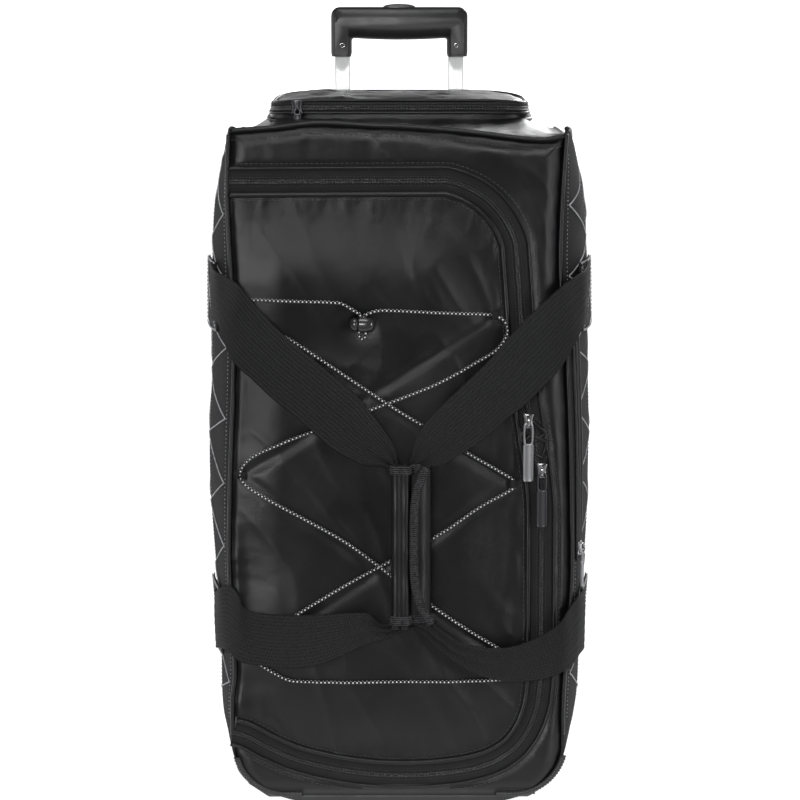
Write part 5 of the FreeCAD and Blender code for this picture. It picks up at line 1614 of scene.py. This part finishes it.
# the CAD nodes that stay as they are get their own finish
KEPT = {"wheel_housing_left": BASE_PLASTIC, "wheel_housing_right": BASE_PLASTIC, "axles": STEEL,
        "rail_screws": STEEL, "cord_lock_spring": STEEL, "outer_tube_left": ALUMINIUM,
        "outer_tube_right": ALUMINIUM, "tube_collars": BASE_PLASTIC, "tube_bracket": BASE_PLASTIC,
        "lock_blocks": BASE_PLASTIC, "push_rods": STEEL, "button_spring": STEEL, "lock_pin_left": STEEL,
        "lock_pin_right": STEEL, "left_bearings": STEEL, "right_bearings": STEEL}
for node, material in KEPT.items():
    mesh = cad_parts[node].data
    mesh.materials.clear()
    mesh.materials.append(material)


# ------------------------------------------------------------------ floor, light and camera
def stage():
    """A big pale floor that brightens towards the back, a low wall, a pale world and five lights."""
    bpy.ops.mesh.primitive_plane_add(size=16, location=(0, 0, -0.0002))
    floor = bpy.context.object
    floor.name = "floor"
    look = Look("pale_floor", (0.26, 0.26, 0.26), 0.8)
    split = look.node("SeparateXYZ")
    look.link(look.place(), split.inputs[0])
    glow = look.node("MapRange")
    for socket, given in zip(("From Min", "From Max", "To Max"), (-0.5, -0.15, 0.95)):
        glow.inputs[socket].default_value = given
    look.link(split.outputs["Y"], glow.inputs["Value"])
    seen = look.node("LightPath").outputs["Is Camera Ray"]
    look.link(look.math("MULTIPLY", seen, 0.72), glow.inputs["To Min"])
    look.set("Emission Color", (1, 1, 1, 1))
    look.link(glow.outputs["Result"], look.shader.inputs["Emission Strength"])
    floor.data.materials.append(look.material)
    bpy.ops.mesh.primitive_plane_add(size=1, location=(0, 7.5, 0.8), rotation=(math.radians(90), 0, 0))
    wall = bpy.context.object
    wall.name = "wall"
    wall.scale = (14, 1.8, 1)
    paint = Look("pale_wall", (0.8, 0.8, 0.8), 0.9)
    paint.set("Emission Color", (1, 1, 1, 1))
    paint.set("Emission Strength", 1.1)
    wall.data.materials.append(paint.material)
    world = bpy.data.worlds.new("studio")
    bpy.context.scene.world = world
    world.use_nodes = True
    world.node_tree.nodes["Background"].inputs["Color"].default_value = (1, 1, 1, 1)
    tree = world.node_tree
    pale = tree.nodes.new("ShaderNodeMapRange")
    pale.inputs["To Min"].default_value = 0.04
    pale.inputs["To Max"].default_value = 0.92
    tree.links.new(tree.nodes.new("ShaderNodeLightPath").outputs["Is Camera Ray"], pale.inputs["Value"])
    tree.links.new(pale.outputs["Result"], tree.nodes["Background"].inputs["Strength"])
    for name, at, aim, size, power in (
            ("key", (-0.9, -4.2, 1.55), (0, 0, 0.55), (2.2, 0.7), 125),
            ("fill", (2.5, -1.6, 0.9), (0, 0, 0.35), (0.6, 1.4), 32),
            ("top", (-0.2, -0.7, 2.7), (0, 0, 0.5), (1.6, 0.9), 26),
            ("edge", (-2.4, 0.5, 1.0), (0, 0, 0.35), (0.8, 1.6), 12),
            ("back", (1.4, 3.2, 1.9), (0, 0, 0.4), (1.6, 1.2), 70)):
        light = bpy.data.lights.new(name, "AREA")
        light.shape = "RECTANGLE"
        light.size, light.size_y = size
        light.energy = power
        lamp = bpy.data.objects.new(name, light)
        bpy.context.scene.collection.objects.link(lamp)
        lamp.location = at
        lamp.rotation_euler = (Vector(aim) - Vector(at)).to_track_quat("-Z", "Y").to_euler()


def camera():
    """Ten degrees above level, 2.6 m from the bag's front."""
    lens = bpy.data.cameras.new("camera")
    lens.sensor_width = 36
    lens.lens = 121.095
    eye = bpy.data.objects.new("camera", lens)
    bpy.context.scene.collection.objects.link(eye)
    target = Vector((0.0, FRONT, 0.406))
    lift, yaw, distance = math.radians(10), math.radians(-0.15), 2.6
    eye.location = target + distance * Vector((math.sin(yaw) * math.cos(lift),
                                               -math.cos(yaw) * math.cos(lift), math.sin(lift)))
    eye.rotation_euler = (target - eye.location).to_track_quat("-Z", "Y").to_euler()
    bpy.context.scene.camera = eye


stage()
camera()
bpy.context.scene.view_settings.view_transform = "Standard"
bpy.context.view_layer.update()
